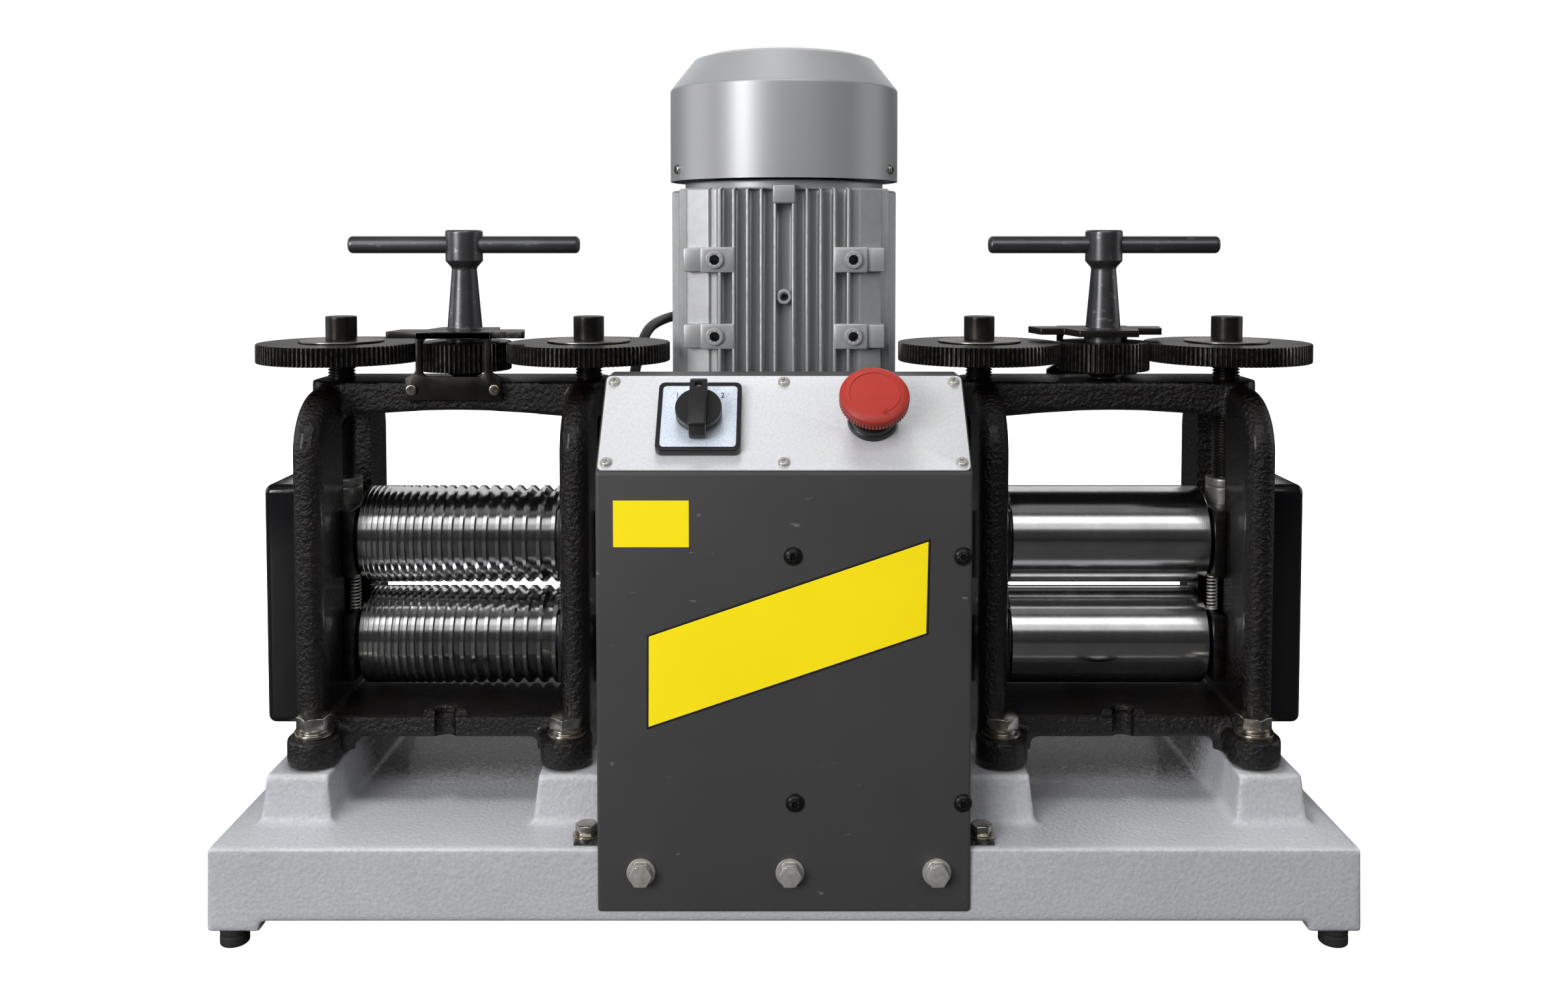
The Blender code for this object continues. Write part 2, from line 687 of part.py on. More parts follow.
def bolting_pad(x):
    """A tapered rib that carries one side of a head from front to back."""
    work = bmesh.new()
    bmesh.ops.create_cube(work, size=1)
    for corner in work.verts:
        low = corner.co.z < 0
        spread = PAD_DRAFT if low else 0
        corner.co.x = x + math.copysign(PAD_WIDTH / 2 + spread, corner.co.x)
        corner.co.y = math.copysign(PAD_DEPTH / 2 + spread, corner.co.y)
        corner.co.z = BASE_TOP - BASE_ROOF / 2 if low else PAD_TOP
    mesh = bpy.data.meshes.new("pad")
    work.to_mesh(mesh)
    work.free()
    return scratch(mesh)


def foot_places():
    far_x, far_y = BASE_LENGTH / 2 - FOOT_INSET, BASE_DEPTH / 2 - FOOT_INSET
    return [(x, y) for y in (-far_y, far_y) for x in (-far_x, far_x)]


def levelling_feet(root):
    names = ("front_left_foot", "front_right_foot", "rear_left_foot", "rear_right_foot")
    rubber = material("black_rubber", (0.02, 0.02, 0.02), 0.75, 0.0)
    profile = [(0, BASE_BOTTOM - FIT_GAP), (FOOT_D / 2, BASE_BOTTOM - FIT_GAP),
               (FOOT_D / 2, EDGE), (FOOT_D / 2 - EDGE, 0), (0, 0)]
    mesh = turned(profile, COARSE).data
    for name, (x, y) in zip(names, foot_places()):
        copy_of(mesh, name, rubber, root, (x, y, 0))


# Head frames, made about the head's own middle with the outer side at -X and the front at -Y

def side_wall(x):
    """One upright: a thick plate with a rounded rim and the window the bearings slide in."""
    outer = ([(-WALL_HALF_Y, PAD_TOP + FIT_GAP), (WALL_HALF_Y, PAD_TOP + FIT_GAP)]
             + rounded_corner(WALL_HALF_Y - WALL_CORNER, WALL_TOP - WALL_CORNER, WALL_CORNER, 0)
             + rounded_corner(WALL_CORNER - WALL_HALF_Y, WALL_TOP - WALL_CORNER, WALL_CORNER,
                              math.pi / 2))
    wall = stand_up(plate(outer, WALL_T), x - WALL_T / 2)
    wall = soften(wall, WALL_RIM, 2, math.radians(60))
    low = LOWER_ROLL_Z - BLOCK_HALF_Z - FIT_GAP
    window = ([(-WINDOW_HALF_Y, low), (WINDOW_HALF_Y, low)]
              + rounded_corner(WINDOW_HALF_Y - WINDOW_CORNER, BRIDGE_SIDE_Z - WINDOW_CORNER,
                               WINDOW_CORNER, 0, 1)
              + rounded_corner(WINDOW_CORNER - WINDOW_HALF_Y, BRIDGE_SIDE_Z - WINDOW_CORNER,
                               WINDOW_CORNER, math.pi / 2, 1))
    return cut(wall, stand_up(plate(window, 2 * WALL_T), x - WALL_T))


def bridge():
    """The top slab: rounded ends, flat top and a shallow arch below."""
    half = SCREW_X + BRIDGE_END
    arch_half = SCREW_X - WALL_T / 2
    arch = [(arch_half - 2 * arch_half * i / ARCH_STEPS,
             BRIDGE_SIDE_Z + BRIDGE_ARCH * math.sin(math.pi * i / ARCH_STEPS))
            for i in range(ARCH_STEPS + 1)]
    side = [(-half, BRIDGE_TOP), (-half, BRIDGE_SIDE_Z), *reversed(arch), (half, BRIDGE_SIDE_Z),
            (half, BRIDGE_TOP)]
    slab = face_front(plate(side, 2 * BRIDGE_HALF_Y), 0, -BRIDGE_HALF_Y)
    plan = rounded_rectangle(-half, half, -BRIDGE_HALF_Y, BRIDGE_HALF_Y, BRIDGE_CORNER, 2)
    trim = plate(plan, BRIDGE_TOP)
    return boolean(slab, trim, "INTERSECT")


def head_floor():
    """The bottom plate, with the half-round boss and notch in the middle of its long edges."""
    plan = span((-SCREW_X, -FLOOR_HALF_Y, FLOOR_BOTTOM), (SCREW_X, FLOOR_HALF_Y, FLOOR_TOP))
    for side in (-1, 1):
        y = side * FLOOR_HALF_Y
        plan = join(plan, rod(FLOOR_BOSS_D / 2, (0, y, FLOOR_BOTTOM),
                              (0, y, FLOOR_TOP + FLOOR_BOSS_RISE), ROUGH))
        y = side * (FLOOR_HALF_Y + FLOOR_NOTCH_OUT)
        plan = cut(plan, rod(FLOOR_NOTCH_D / 2, (0, y, FLOOR_BOTTOM - OVERRUN),
                             (0, y, FLOOR_TOP + OVERRUN), ROUGH))
    return plan


def head_frame_mesh():
    frame = join(side_wall(-SCREW_X), side_wall(SCREW_X))
    frame = join(frame, bridge(), head_floor())
    for x in (-LUG_X, LUG_X):
        for y in (-LUG_Y, LUG_Y):
            lug = rod(LUG_D / 2, (x, y, PAD_TOP + FIT_GAP), (x, y, LUG_TOP), ROUGH)
            frame = join(frame, lug)
    low, high = BRIDGE_SIDE_Z - OVERRUN, BRIDGE_TOP + OVERRUN
    for x in (-SCREW_X, SCREW_X):
        bore = rod(clear_radius(SCREW_D / 2, COARSE), (x, 0, low), (x, 0, high), COARSE)
        frame = cut(frame, bore)
    pivot = rod(clear_radius(PIVOT_D / 2, COARSE), (0, 0, BRIDGE_TOP - PIVOT_DEPTH),
                (0, 0, high), COARSE)
    return cut(frame, pivot).data


# Bearing blocks and their springs

def bearing_block(upper):
    """An H-shaped block that slides in the window; its wide flange faces the roll at +X."""
    core = WALL_T / 2 + FIT_GAP
    slide = WINDOW_HALF_Y - FIT_GAP
    side = WINDOW_HALF_Y + BLOCK_SIDE
    half = [(-BLOCK_OUT_X, side), (-core, side), (-core, slide), (core, slide), (core, side),
            (BLOCK_IN_X, side)]
    outline = half + [(x, -y) for x, y in reversed(half)]
    outline.reverse()
    body = plate(outline, 2 * BLOCK_HALF_Z)
    body.data.transform(Matrix.Translation((0, 0, -BLOCK_HALF_Z)))
    reach = BLOCK_IN_X + OVERRUN
    if upper:
        body = join(body, rod(SCREW_CAP_D / 2, (0, 0, 0),
                              (0, 0, SCREW_CAP_TOP - UPPER_ROLL_Z), COARSE))
    return cut(body, rod(clear_radius(NECK_D / 2, COARSE), (-reach, 0, 0), (reach, 0, 0), COARSE))


def spring_points():
    """One unbroken compression spring with straight ends, from its lower seat up."""
    height = UPPER_BLOCK_BOTTOM - LOWER_BLOCK_TOP - 2 * FIT_GAP
    radius = (SPRING_D - SPRING_WIRE) / 2
    lead = SPRING_WIRE
    coil = height - 2 * lead
    count = SPRING_CURLS * SPRING_POINTS
    points = [(radius, 0, 0)]
    for i in range(count + 1):
        angle = 2 * math.pi * i / SPRING_POINTS
        points.append((radius * math.cos(angle), radius * math.sin(angle),
                       lead + coil * i / count))
    points.append((radius, 0, height))
    return points


def least_spring_gap(points):
    """The smallest air between points of the wire that are half a curl or more apart."""
    apart = SPRING_POINTS // 2
    spaces = [math.dist(points[i], points[j]) for i in range(len(points))
              for j in range(i + apart, len(points))]
    return min(spaces) - SPRING_WIRE


# Rolls, made along Z from the outer end down to the inner end

def roll_profile(grooved, lower):
    """Half section of a roll as (radius, distance); +distance is towards the outer end."""
    half = ROLL_LENGTH / 2
    neck_out = SCREW_X + BLOCK_OUT_X + FIT_GAP
    seat_out = neck_out + ROLL_GEAR_WIDTH + 2 * EDGE
    neck_in = HEAD_X - SHAFT_END_X - FIT_GAP / 2 if lower else SCREW_X + BLOCK_OUT_X + EDGE
    collar = SCREW_X - BLOCK_IN_X - FIT_GAP
    radius = ROLL_D / 2
    points = [(0, seat_out), (GEAR_SEAT_D / 2, seat_out), (GEAR_SEAT_D / 2, neck_out),
              (NECK_D / 2, neck_out), (NECK_D / 2, collar), (COLLAR_D / 2, collar),
              (COLLAR_D / 2, half)]
    points += [(radius - ROLL_EDGE, half), (radius, half - ROLL_EDGE)]
    if grooved:
        points += groove_points(radius, half)
    points += [(radius, ROLL_EDGE - half), (radius - ROLL_EDGE, -half), (COLLAR_D / 2, -half),
               (COLLAR_D / 2, -collar), (NECK_D / 2, -collar)]
    if lower:
        points += [(NECK_D / 2, -neck_out), (SHAFT_D / 2, -neck_out), (SHAFT_D / 2, -neck_in),
                   (0, -neck_in)]
    else:
        points += [(NECK_D / 2, -neck_in), (0, -neck_in)]
    return points


def groove_points(radius, half):
    """V-shaped wire grooves that widen steadily from the outer end to the inner end."""
    widths = [GROOVE_FIRST + (GROOVE_LAST - GROOVE_FIRST) * i / (GROOVES - 1)
              for i in range(GROOVES)]
    land = (2 * half - 2 * END_LAND - sum(widths)) / (GROOVES - 1)
    points = []
    place = half - END_LAND
    for width in widths:
        depth = width / 2 / math.tan(GROOVE_ANGLE / 2)
        points += [(radius, place), (radius - depth, place - width / 2), (radius, place - width)]
        place -= width + land
    return points


def roll(grooved, lower):
    shape = turned(roll_profile(grooved, lower), GROOVED_STEPS if grooved else PLAIN_STEPS)
    shape.data.transform(Matrix.Rotation(-math.pi / 2, 4, "Y"))
    return shape


def roll_gear(upper):
    """The lower gear has a tooth at its top, the upper one a gap at its bottom to take it."""
    first = math.pi / ROLL_GEAR_TEETH - math.pi / 2 if upper else math.pi / 2
    outline = toothed_outline(ROLL_GEAR_TEETH, ROLL_GEAR_TIP, ROLL_GEAR_ROOT,
                              ROLL_GEAR_TIP_SHARE, ROLL_GEAR_ROOT_SHARE, first)
    gear = plate(outline, ROLL_GEAR_WIDTH, [circle(clear_radius(GEAR_SEAT_D / 2, COARSE), COARSE)])
    gear.data.transform(Matrix.Translation((0, 0, -ROLL_GEAR_WIDTH / 2)))
    return stand_up(gear)


# Screw-down: two screws with their gears, and the pinion spindle with the handle

def spindle_gear():
    outline = toothed_outline(GEAR_TEETH, GEAR_TIP_R, GEAR_ROOT_R, 0, 0, math.pi / GEAR_TEETH)
    bore = circle(clear_radius(SCREW_SHANK_D / 2, SMALL), SMALL)
    return plate(outline, GEAR_THICK, [bore])


def screw():
    """Threaded spindle: post and clamping disc above the gear, tip on the bearing block's cap."""
    disc_z = GEAR_BOTTOM + GEAR_THICK + FIT_GAP
    shoulder = GEAR_BOTTOM - FIT_GAP
    tip = SCREW_CAP_TOP + FIT_GAP
    top = disc_z + GEAR_DISC_H + POST_H
    profile = [(0, top), (POST_D / 2, top), (POST_D / 2, disc_z + GEAR_DISC_H),
               (GEAR_DISC_D / 2, disc_z + GEAR_DISC_H), (GEAR_DISC_D / 2, disc_z),
               (SCREW_SHANK_D / 2, disc_z), (SCREW_SHANK_D / 2, shoulder), (SCREW_D / 2, shoulder),
               (SCREW_D / 2, tip), (0, tip)]
    return turned(profile, COARSE)


def handle_spindle():
    """Turned spindle with its pinion and the cross-drilled hub for the bar."""
    profile = [(0, HUB_TOP), (HUB_D / 2, HUB_TOP), (HUB_D / 2, HUB_BOTTOM),
               (NECK_TOP_D / 2, NECK_TOP_Z), (CONE_D / 2, CONE_FOOT_Z),
               (HANDLE_COLLAR_D / 2, PINION_TOP + EDGE), (HANDLE_COLLAR_D / 2, BRIDGE_TOP + FIT_GAP),
               (PIVOT_D / 2, BRIDGE_TOP + FIT_GAP),
               (PIVOT_D / 2, BRIDGE_TOP - PIVOT_DEPTH + FIT_GAP),
               (0, BRIDGE_TOP - PIVOT_DEPTH + FIT_GAP)]
    spindle = turned(profile, COARSE)
    outline = toothed_outline(PINION_TEETH, PINION_TIP_R, PINION_ROOT_R, 0, 0, 0)
    pinion = plate(outline, PINION_HEIGHT)
    pinion.data.transform(Matrix.Translation((0, 0, PINION_BOTTOM)))
    spindle = join(spindle, pinion)
    bore = rod(clear_radius(BAR_D / 2, SMALL), (-HUB_D, 0, BAR_Z), (HUB_D, 0, BAR_Z), SMALL)
    return cut(spindle, bore)


def handle_bar():
    half, radius = BAR_LENGTH / 2, BAR_D / 2
    profile = [(0, half), (radius - BAR_ROUND, half), (radius, half - BAR_ROUND),
               (radius, BAR_ROUND - half), (radius - BAR_ROUND, -half), (0, -half)]
    return along_x(turned(profile, COARSE))


def bracket():
    """Steady for the pinion: foot plate, windowed upright and winged top plate."""
    front = -(BRIDGE_HALF_Y + FIT_GAP + BRACKET_T)
    foot = BRACKET_FOOT_WIDTH / 2
    low = BRIDGE_TOP - BRACKET_FOOT_DROP
    top = low + BRACKET_FOOT_H
    upright = [(-foot, low), (foot, low), (foot, top), (BRACKET_LEG_OUT, top + BRACKET_T),
               (BRACKET_LEG_OUT, BRACKET_TOP), (-BRACKET_LEG_OUT, BRACKET_TOP),
               (-BRACKET_LEG_OUT, top + BRACKET_T), (-foot, top)]
    window = rounded_rectangle(-BRACKET_WINDOW_HALF, BRACKET_WINDOW_HALF, top + EDGE,
                               BRACKET_TOP - BRACKET_T, BRACKET_WINDOW_CORNER, 2)
    shape = face_front(plate(upright, BRACKET_T, [window]), 0, front)
    wing = [(-BRACKET_WING_HALF, -BRACKET_WING_FRONT), (BRACKET_WING_HALF, -BRACKET_WING_FRONT),
            (BRACKET_WING_HALF - BRACKET_T, -BRACKET_WING_BACK),
            (BRACKET_LEG_OUT, -BRACKET_WING_BACK), (BRACKET_LEG_OUT - BRACKET_T, BRACKET_NOSE_BACK),
            (BRACKET_T - BRACKET_LEG_OUT, BRACKET_NOSE_BACK),
            (-BRACKET_LEG_OUT, -BRACKET_WING_BACK),
            (BRACKET_T - BRACKET_WING_HALF, -BRACKET_WING_BACK)]
    top = plate(wing, BRACKET_T)
    top.data.transform(Matrix.Translation((0, 0, BRACKET_TOP - BRACKET_T)))
    neck = span((-BRACKET_LEG_OUT, front, BRACKET_TOP - BRACKET_T),
                (BRACKET_LEG_OUT, -BRACKET_WING_BACK, BRACKET_TOP))
    bore = rod(clear_radius(HANDLE_COLLAR_D / 2, COARSE), (0, 0, BRACKET_TOP - OVERRUN),
               (0, 0, BRACKET_TOP + OVERRUN), COARSE)
    return cut(join(shape, top, neck), bore)


def cover_box(inset):
    """The gear cover's outside, or its inside when inset, running past the wall at +X."""
    wall_x = -(SCREW_X + WALL_T / 2 + FIT_GAP)
    box = span((wall_x - COVER_REACH + inset, inset - COVER_HALF_Y, COVER_BOTTOM + inset),
               (wall_x + OVERRUN + inset, COVER_HALF_Y - inset, COVER_TOP - inset))
    return soften(box, COVER_EDGE - inset)


def gear_cover():
    """Pressed box over the roll gears, open towards the wall at +X."""
    wall_x = -(SCREW_X + WALL_T / 2 + FIT_GAP)
    trim = span((wall_x, -2 * COVER_HALF_Y, 0), (0, 2 * COVER_HALF_Y, WALL_TOP))
    return cut(cover_box(0), trim, cover_box(COVER_T))


def build_head(side, root, meshes):
    """Place one head; the right one is the same head turned half round."""
    left = side == "left"
    sign = -1 if left else 1
    turn = 0 if left else math.pi
    head = empty(f"{side}_head", root, (sign * HEAD_X, 0, 0), (0, 0, turn))
    copy_of(meshes["frame"], f"{side}_frame", black_cast(), head)
    copy_of(meshes["bracket"], f"{side}_bracket", black_oxide(), head)
    copy_of(meshes["cover"], f"{side}_gear_cover", material("gloss_black", (0.012, 0.012, 0.013),
                                                            0.2, 0.0), head)
    block_steel = material("bearing_steel", (0.20, 0.20, 0.20), 0.45, 0.9)
    spring_steel = material("spring_steel", (0.35, 0.34, 0.33), 0.3, 1.0)
    for place, x, flip in (("outer", -SCREW_X, 0), ("inner", SCREW_X, math.pi)):
        copy_of(meshes["lower_block"], f"{side}_lower_{place}_bearing", block_steel, head,
                (x, 0, LOWER_ROLL_Z), (0, 0, flip))
        copy_of(meshes["upper_block"], f"{side}_upper_{place}_bearing", block_steel, head,
                (x, 0, UPPER_ROLL_Z), (0, 0, flip))
        copy_of(meshes["screw"], f"{side}_{place}_screw", black_oxide(), head, (x, 0, 0))
        copy_of(meshes["spindle_gear"], f"{side}_{place}_spindle_gear", black_oxide(), head,
                (x, 0, GEAR_BOTTOM), (0, 0, flip))
        spring_x = x + math.copysign(SPRING_FROM_SCREW, -x)
        copy_of(meshes["spring"], f"{side}_{place}_spring", spring_steel, head,
                (spring_x, sign * SPRING_Y, LOWER_BLOCK_TOP + FIT_GAP), (0, 0, turn))
    kind = "grooved" if left else "plain"
    for name, z in (("lower", LOWER_ROLL_Z), ("upper", UPPER_ROLL_Z)):
        copy_of(meshes[f"{kind}_{name}"], f"{side}_{name}_roll", roll_steel(), head, (0, 0, z))
        gear_x = -(SCREW_X + BLOCK_OUT_X + FIT_GAP + EDGE + ROLL_GEAR_WIDTH / 2)
        copy_of(meshes[f"roll_gear_{name}"], f"{side}_{name}_roll_gear",
                material("gear_steel", (0.25, 0.25, 0.25), 0.35, 1.0), head, (gear_x, 0, z))
    copy_of(meshes["handle_spindle"], f"{side}_handle_spindle", black_oxide(), head)
    copy_of(meshes["handle_bar"], f"{side}_handle_bar", black_oxide(), head, (0, 0, BAR_Z))


def build_heads(root):
    springs = spring_points()
    print("least air between spring curls, mm:", round(least_spring_gap(springs) * 1000, 3))
    meshes = {
        "frame": head_frame_mesh(),
        "bracket": bracket().data,
        "cover": gear_cover().data,
        "lower_block": bearing_block(False).data,
        "upper_block": bearing_block(True).data,
        "screw": screw().data,
        "spindle_gear": spindle_gear().data,
        "spring": tube(springs, SPRING_WIRE, 1).data,
        "grooved_lower": roll(True, True).data,
        "grooved_upper": roll(True, False).data,
        "plain_lower": roll(False, True).data,
        "plain_upper": roll(False, False).data,
        "roll_gear_lower": roll_gear(False).data,
        "roll_gear_upper": roll_gear(True).data,
        "handle_spindle": handle_spindle().data,
        "handle_bar": handle_bar().data,
    }
    build_head("left", root, meshes)
    build_head("right", root, meshes)


# Worm gearbox and drive line

def gearbox_housing(root):
    axis_z = LOWER_ROLL_Z
    box = rod(BOX_DRUM_R, (-BOX_HALF_X, 0, axis_z), (BOX_HALF_X, 0, axis_z), FINE)
    worm_case = soften(span((-BOX_WORM_HALF_X, 0, BOX_WORM_BOTTOM),
                            (BOX_WORM_HALF_X, WORM_Y + BOX_WORM_HALF_Y, BOX_FLANGE_Z)),
                       BOX_WORM_EDGE)
    hubs = rod(BOX_HUB_R, (-BOX_HUB_X, 0, axis_z), (BOX_HUB_X, 0, axis_z), FINE)
    flange = rod(MOTOR_FLANGE_D / 2, (0, WORM_Y, BOX_FLANGE_Z),
                 (0, WORM_Y, BOX_FLANGE_Z + BOX_FLANGE_T), FINE)
    foot_low = BASE_TOP + FIT_GAP
    foot = span((-BOX_HALF_X, -BOX_FOOT_FRONT, foot_low),
                (BOX_HALF_X, BOX_FOOT_BACK, foot_low + BOX_FOOT_T))
    web = span((-BOX_WORM_HALF_X, -BOX_HUB_R, foot_low),
               (BOX_WORM_HALF_X, WORM_Y + BOX_HUB_R, axis_z))
    box = join(box, worm_case, hubs, flange, foot, web)
    bore = rod(clear_radius(SHAFT_D / 2, COARSE), (-BOX_HUB_X - OVERRUN, 0, axis_z),
               (BOX_HUB_X + OVERRUN, 0, axis_z), COARSE)
    well = rod(clear_radius(ROTOR_SHAFT_D / 2, COARSE), (0, WORM_Y, ROTOR_BOTTOM - FIT_GAP),
               (0, WORM_Y, BOX_FLANGE_Z + OVERRUN), COARSE)
    publish(cut(box, bore, well), "gearbox_housing",
            material("gearbox_aluminium", (0.42, 0.43, 0.45), 0.5, 0.8), root)


def drive_line(root):
    """Output shaft through the gearbox, and the sleeves that join it to the lower rolls' necks."""
    steel = material("shaft_steel", (0.40, 0.40, 0.41), 0.35, 1.0)
    half = SHAFT_END_X - FIT_GAP
    publish(rod(SHAFT_D / 2, (-half, 0, 0), (half, 0, 0), FINE), "drive_shaft", steel, root,
            (0, 0, LOWER_ROLL_Z))
    sleeve = rod(SLEEVE_D / 2, (-SLEEVE_LENGTH / 2, 0, 0), (SLEEVE_LENGTH / 2, 0, 0), FINE)
    bore = rod(clear_radius(SHAFT_D / 2, COARSE), (-SLEEVE_LENGTH, 0, 0), (SLEEVE_LENGTH, 0, 0),
               COARSE)
    mesh = cut(sleeve, bore).data
    for name, x in (("left_coupling", -SHAFT_END_X), ("right_coupling", SHAFT_END_X)):
        copy_of(mesh, name, steel, root, (x, 0, LOWER_ROLL_Z))


# Motor

def motor_hull():
    """Plan of the motor body before its grooves: flats at the four corners."""
    shoulder = MOTOR_CHANNEL / 2 + MOTOR_FIN_PITCH * (MOTOR_FRONT_FINS - 1) + MOTOR_FIN_T / 2
    side = MOTOR_FIN_PITCH * (MOTOR_SIDE_FINS - 1) / 2 + MOTOR_FIN_T / 2
    flat = MOTOR_HALF_X - MOTOR_FLAT_STEP
    quarter = [(shoulder, MOTOR_HALF_Y), (flat, MOTOR_FLAT_Y + MOTOR_FIN_PITCH),
               (flat, MOTOR_FLAT_Y), (MOTOR_HALF_X, side)]
    right = quarter + [(x, -y) for x, y in reversed(quarter)]
    outline = right + [(-x, -y) for x, y in right]
    outline.reverse()
    return outline


def motor_grooves():
    """Boxes between the cooling fins, on all four sides."""
    front = [MOTOR_CHANNEL / 2 + MOTOR_FIN_PITCH * i for i in range(MOTOR_FRONT_FINS)]
    front = [-x for x in reversed(front)] + front
    side = [MOTOR_FIN_PITCH * (i - (MOTOR_SIDE_FINS - 1) / 2) for i in range(MOTOR_SIDE_FINS)]
    low, high = MOTOR_BOTTOM, MOTOR_TOP + EDGE / 2
    grooves = []
    for sign in (-1, 1):
        for places, reach, across in ((front, MOTOR_HALF_Y, False), (side, MOTOR_HALF_X, True)):
            near, far = sorted((sign * (reach - MOTOR_FIN_DEPTH), sign * (reach + OVERRUN)))
            for first, second in zip(places, places[1:]):
                left, right = first + MOTOR_FIN_T / 2, second - MOTOR_FIN_T / 2
                if across:
                    grooves.append(span((near, left, low), (far, right, high)))
                else:
                    grooves.append(span((left, near, low), (right, far, high)))
    return grooves


def terminal_box(root):
    """Connection box on the motor's back, with its lid line and cable gland."""
    front = MOTOR_HALF_Y + FIT_GAP
    half_x, half_z = TERMINAL_WIDTH / 2, TERMINAL_HEIGHT / 2
    box = span((-half_x, front, TERMINAL_Z - half_z),
               (half_x, front + TERMINAL_DEPTH, TERMINAL_Z + half_z))
    box = soften(box, TERMINAL_EDGE)
    lid = front + TERMINAL_DEPTH - TERMINAL_LID
    past_x, past_z = half_x + OVERRUN, half_z + OVERRUN
    in_x, in_z = half_x - TERMINAL_GROOVE, half_z - TERMINAL_GROOVE
    ring = cut(span((-past_x, lid, TERMINAL_Z - past_z),
                    (past_x, lid + TERMINAL_GROOVE, TERMINAL_Z + past_z)),
               span((-in_x, lid - OVERRUN, TERMINAL_Z - in_z),
                    (in_x, lid + OVERRUN, TERMINAL_Z + in_z)))
    box = cut(box, ring)
    gland_y = GLAND_Y - WORM_Y
    gland = rod(GLAND_D / 2, (-half_x - GLAND_LENGTH, gland_y, GLAND_Z),
                (0, gland_y, GLAND_Z), COARSE)
    publish(join(box, gland), "terminal_box", silver_paint(), root, (0, WORM_Y, 0))


def motor_housing(root):
    low = MOTOR_BOTTOM
    body = plate(motor_hull(), MOTOR_TOP - low - MOTOR_FLANGE_T)
    body.data.transform(Matrix.Translation((0, 0, low + MOTOR_FLANGE_T)))
    flange = rod(MOTOR_FLANGE_D / 2, (0, 0, low), (0, 0, low + MOTOR_FLANGE_T + EDGE), FINE)
    shield = rod(SHIELD_D / 2, (0, 0, MOTOR_TOP - EDGE), (0, 0, SHIELD_TOP), FINE)
    body = cut(join(body, flange, shield), *motor_grooves())
    reach = (COWL_D / 2 - COWL_T) * math.cos(math.pi / FINE) - FIT_GAP
    for angle in (SHIELD_LUG_ANGLE, math.pi - SHIELD_LUG_ANGLE, math.pi + SHIELD_LUG_ANGLE,
                  -SHIELD_LUG_ANGLE):
        lug = span((0, -SHIELD_LUG_WIDTH / 2, MOTOR_TOP + EDGE),
                   (reach * math.cos(SHIELD_LUG_WIDTH / 2 / reach), SHIELD_LUG_WIDTH / 2,
                    SHIELD_TOP))
        lug.data.transform(Matrix.Rotation(angle, 4, "Z"))
        body = join(body, lug)
    for z in (BOSS_Z_LOWER, BOSS_Z_LOWER + BOSS_PITCH):
        for x in (-BOSS_X, BOSS_X):
            front = -MOTOR_HALF_Y - BOSS_REACH
            boss = span((x - BOSS_WIDTH / 2, front, z - BOSS_HEIGHT / 2),
                        (x + BOSS_WIDTH / 2, MOTOR_FIN_DEPTH - MOTOR_HALF_Y + EDGE,
                         z + BOSS_HEIGHT / 2))
            body = join(body, boss)
            body = cut(body, rod(BOSS_HOLE_D / 2, (x, front - OVERRUN, z),
                                 (x, front + BOSS_HOLE_DEPTH, z), SMALL))
    bore = rod(clear_radius(ROTOR_SHAFT_D / 2, COARSE), (0, 0, low - OVERRUN),
               (0, 0, SHIELD_TOP + OVERRUN), COARSE)
    publish(cut(body, bore), "motor_housing", silver_paint(), root, (0, WORM_Y, 0))


def motor_cowl(root):
    """Pressed fan cowl: straight skirt, sloping shoulder and a flat top with air slots."""
    outer, inner = COWL_D / 2, COWL_D / 2 - COWL_T
    top, top_in = COWL_TOP_D / 2, COWL_TOP_D / 2 - COWL_T
    profile = [(0, COWL_TOP_Z), (top - COWL_TOP_ROUND, COWL_TOP_Z), (top, COWL_RIM_Z),
               (outer, COWL_SHOULDER_Z), (outer, COWL_BOTTOM), (inner, COWL_BOTTOM),
               (inner, COWL_SHOULDER_Z - COWL_T / 2), (top_in, COWL_RIM_Z - COWL_T / 2),
               (top_in - COWL_TOP_ROUND, COWL_TOP_Z - COWL_T), (0, COWL_TOP_Z - COWL_T)]
    cowl = turned(profile, FINE)
    for i in range(COWL_SLOTS):
        slot = span((COWL_SLOT_IN, -COWL_SLOT_WIDTH / 2, COWL_TOP_Z - OVERRUN),
                    (COWL_SLOT_OUT, COWL_SLOT_WIDTH / 2, COWL_TOP_Z + OVERRUN))
        slot.data.transform(Matrix.Rotation(2 * math.pi * i / COWL_SLOTS, 4, "Z"))
        cowl = cut(cowl, slot)
    publish(cowl, "motor_cowl", silver_paint(), root, (0, WORM_Y, 0))


def motor_rotor(root):
    """Motor shaft with the worm end below and the cooling fan above."""
    fan_top = FAN_Z + FAN_HEIGHT
    profile = [(0, fan_top), (FAN_HUB_D / 2, fan_top), (FAN_HUB_D / 2, FAN_Z + FAN_DISC_T),
               (FAN_R, FAN_Z + FAN_DISC_T), (FAN_R, FAN_Z), (ROTOR_SHAFT_D / 2, FAN_Z),
               (ROTOR_SHAFT_D / 2, ROTOR_BOTTOM), (0, ROTOR_BOTTOM)]
    rotor = turned(profile, COARSE)
    for i in range(FAN_BLADES):
        blade = span((ROTOR_SHAFT_D / 2, -FAN_BLADE_T / 2, FAN_Z + FAN_DISC_T / 2),
                     (FAN_R - EDGE, FAN_BLADE_T / 2, fan_top))
        blade.data.transform(Matrix.Rotation(2 * math.pi * i / FAN_BLADES, 4, "Z"))
        rotor = join(rotor, blade)
    publish(rotor, "motor_rotor", material("fan_plastic", (0.05, 0.05, 0.05), 0.5, 0.0), root,
            (0, WORM_Y, 0))


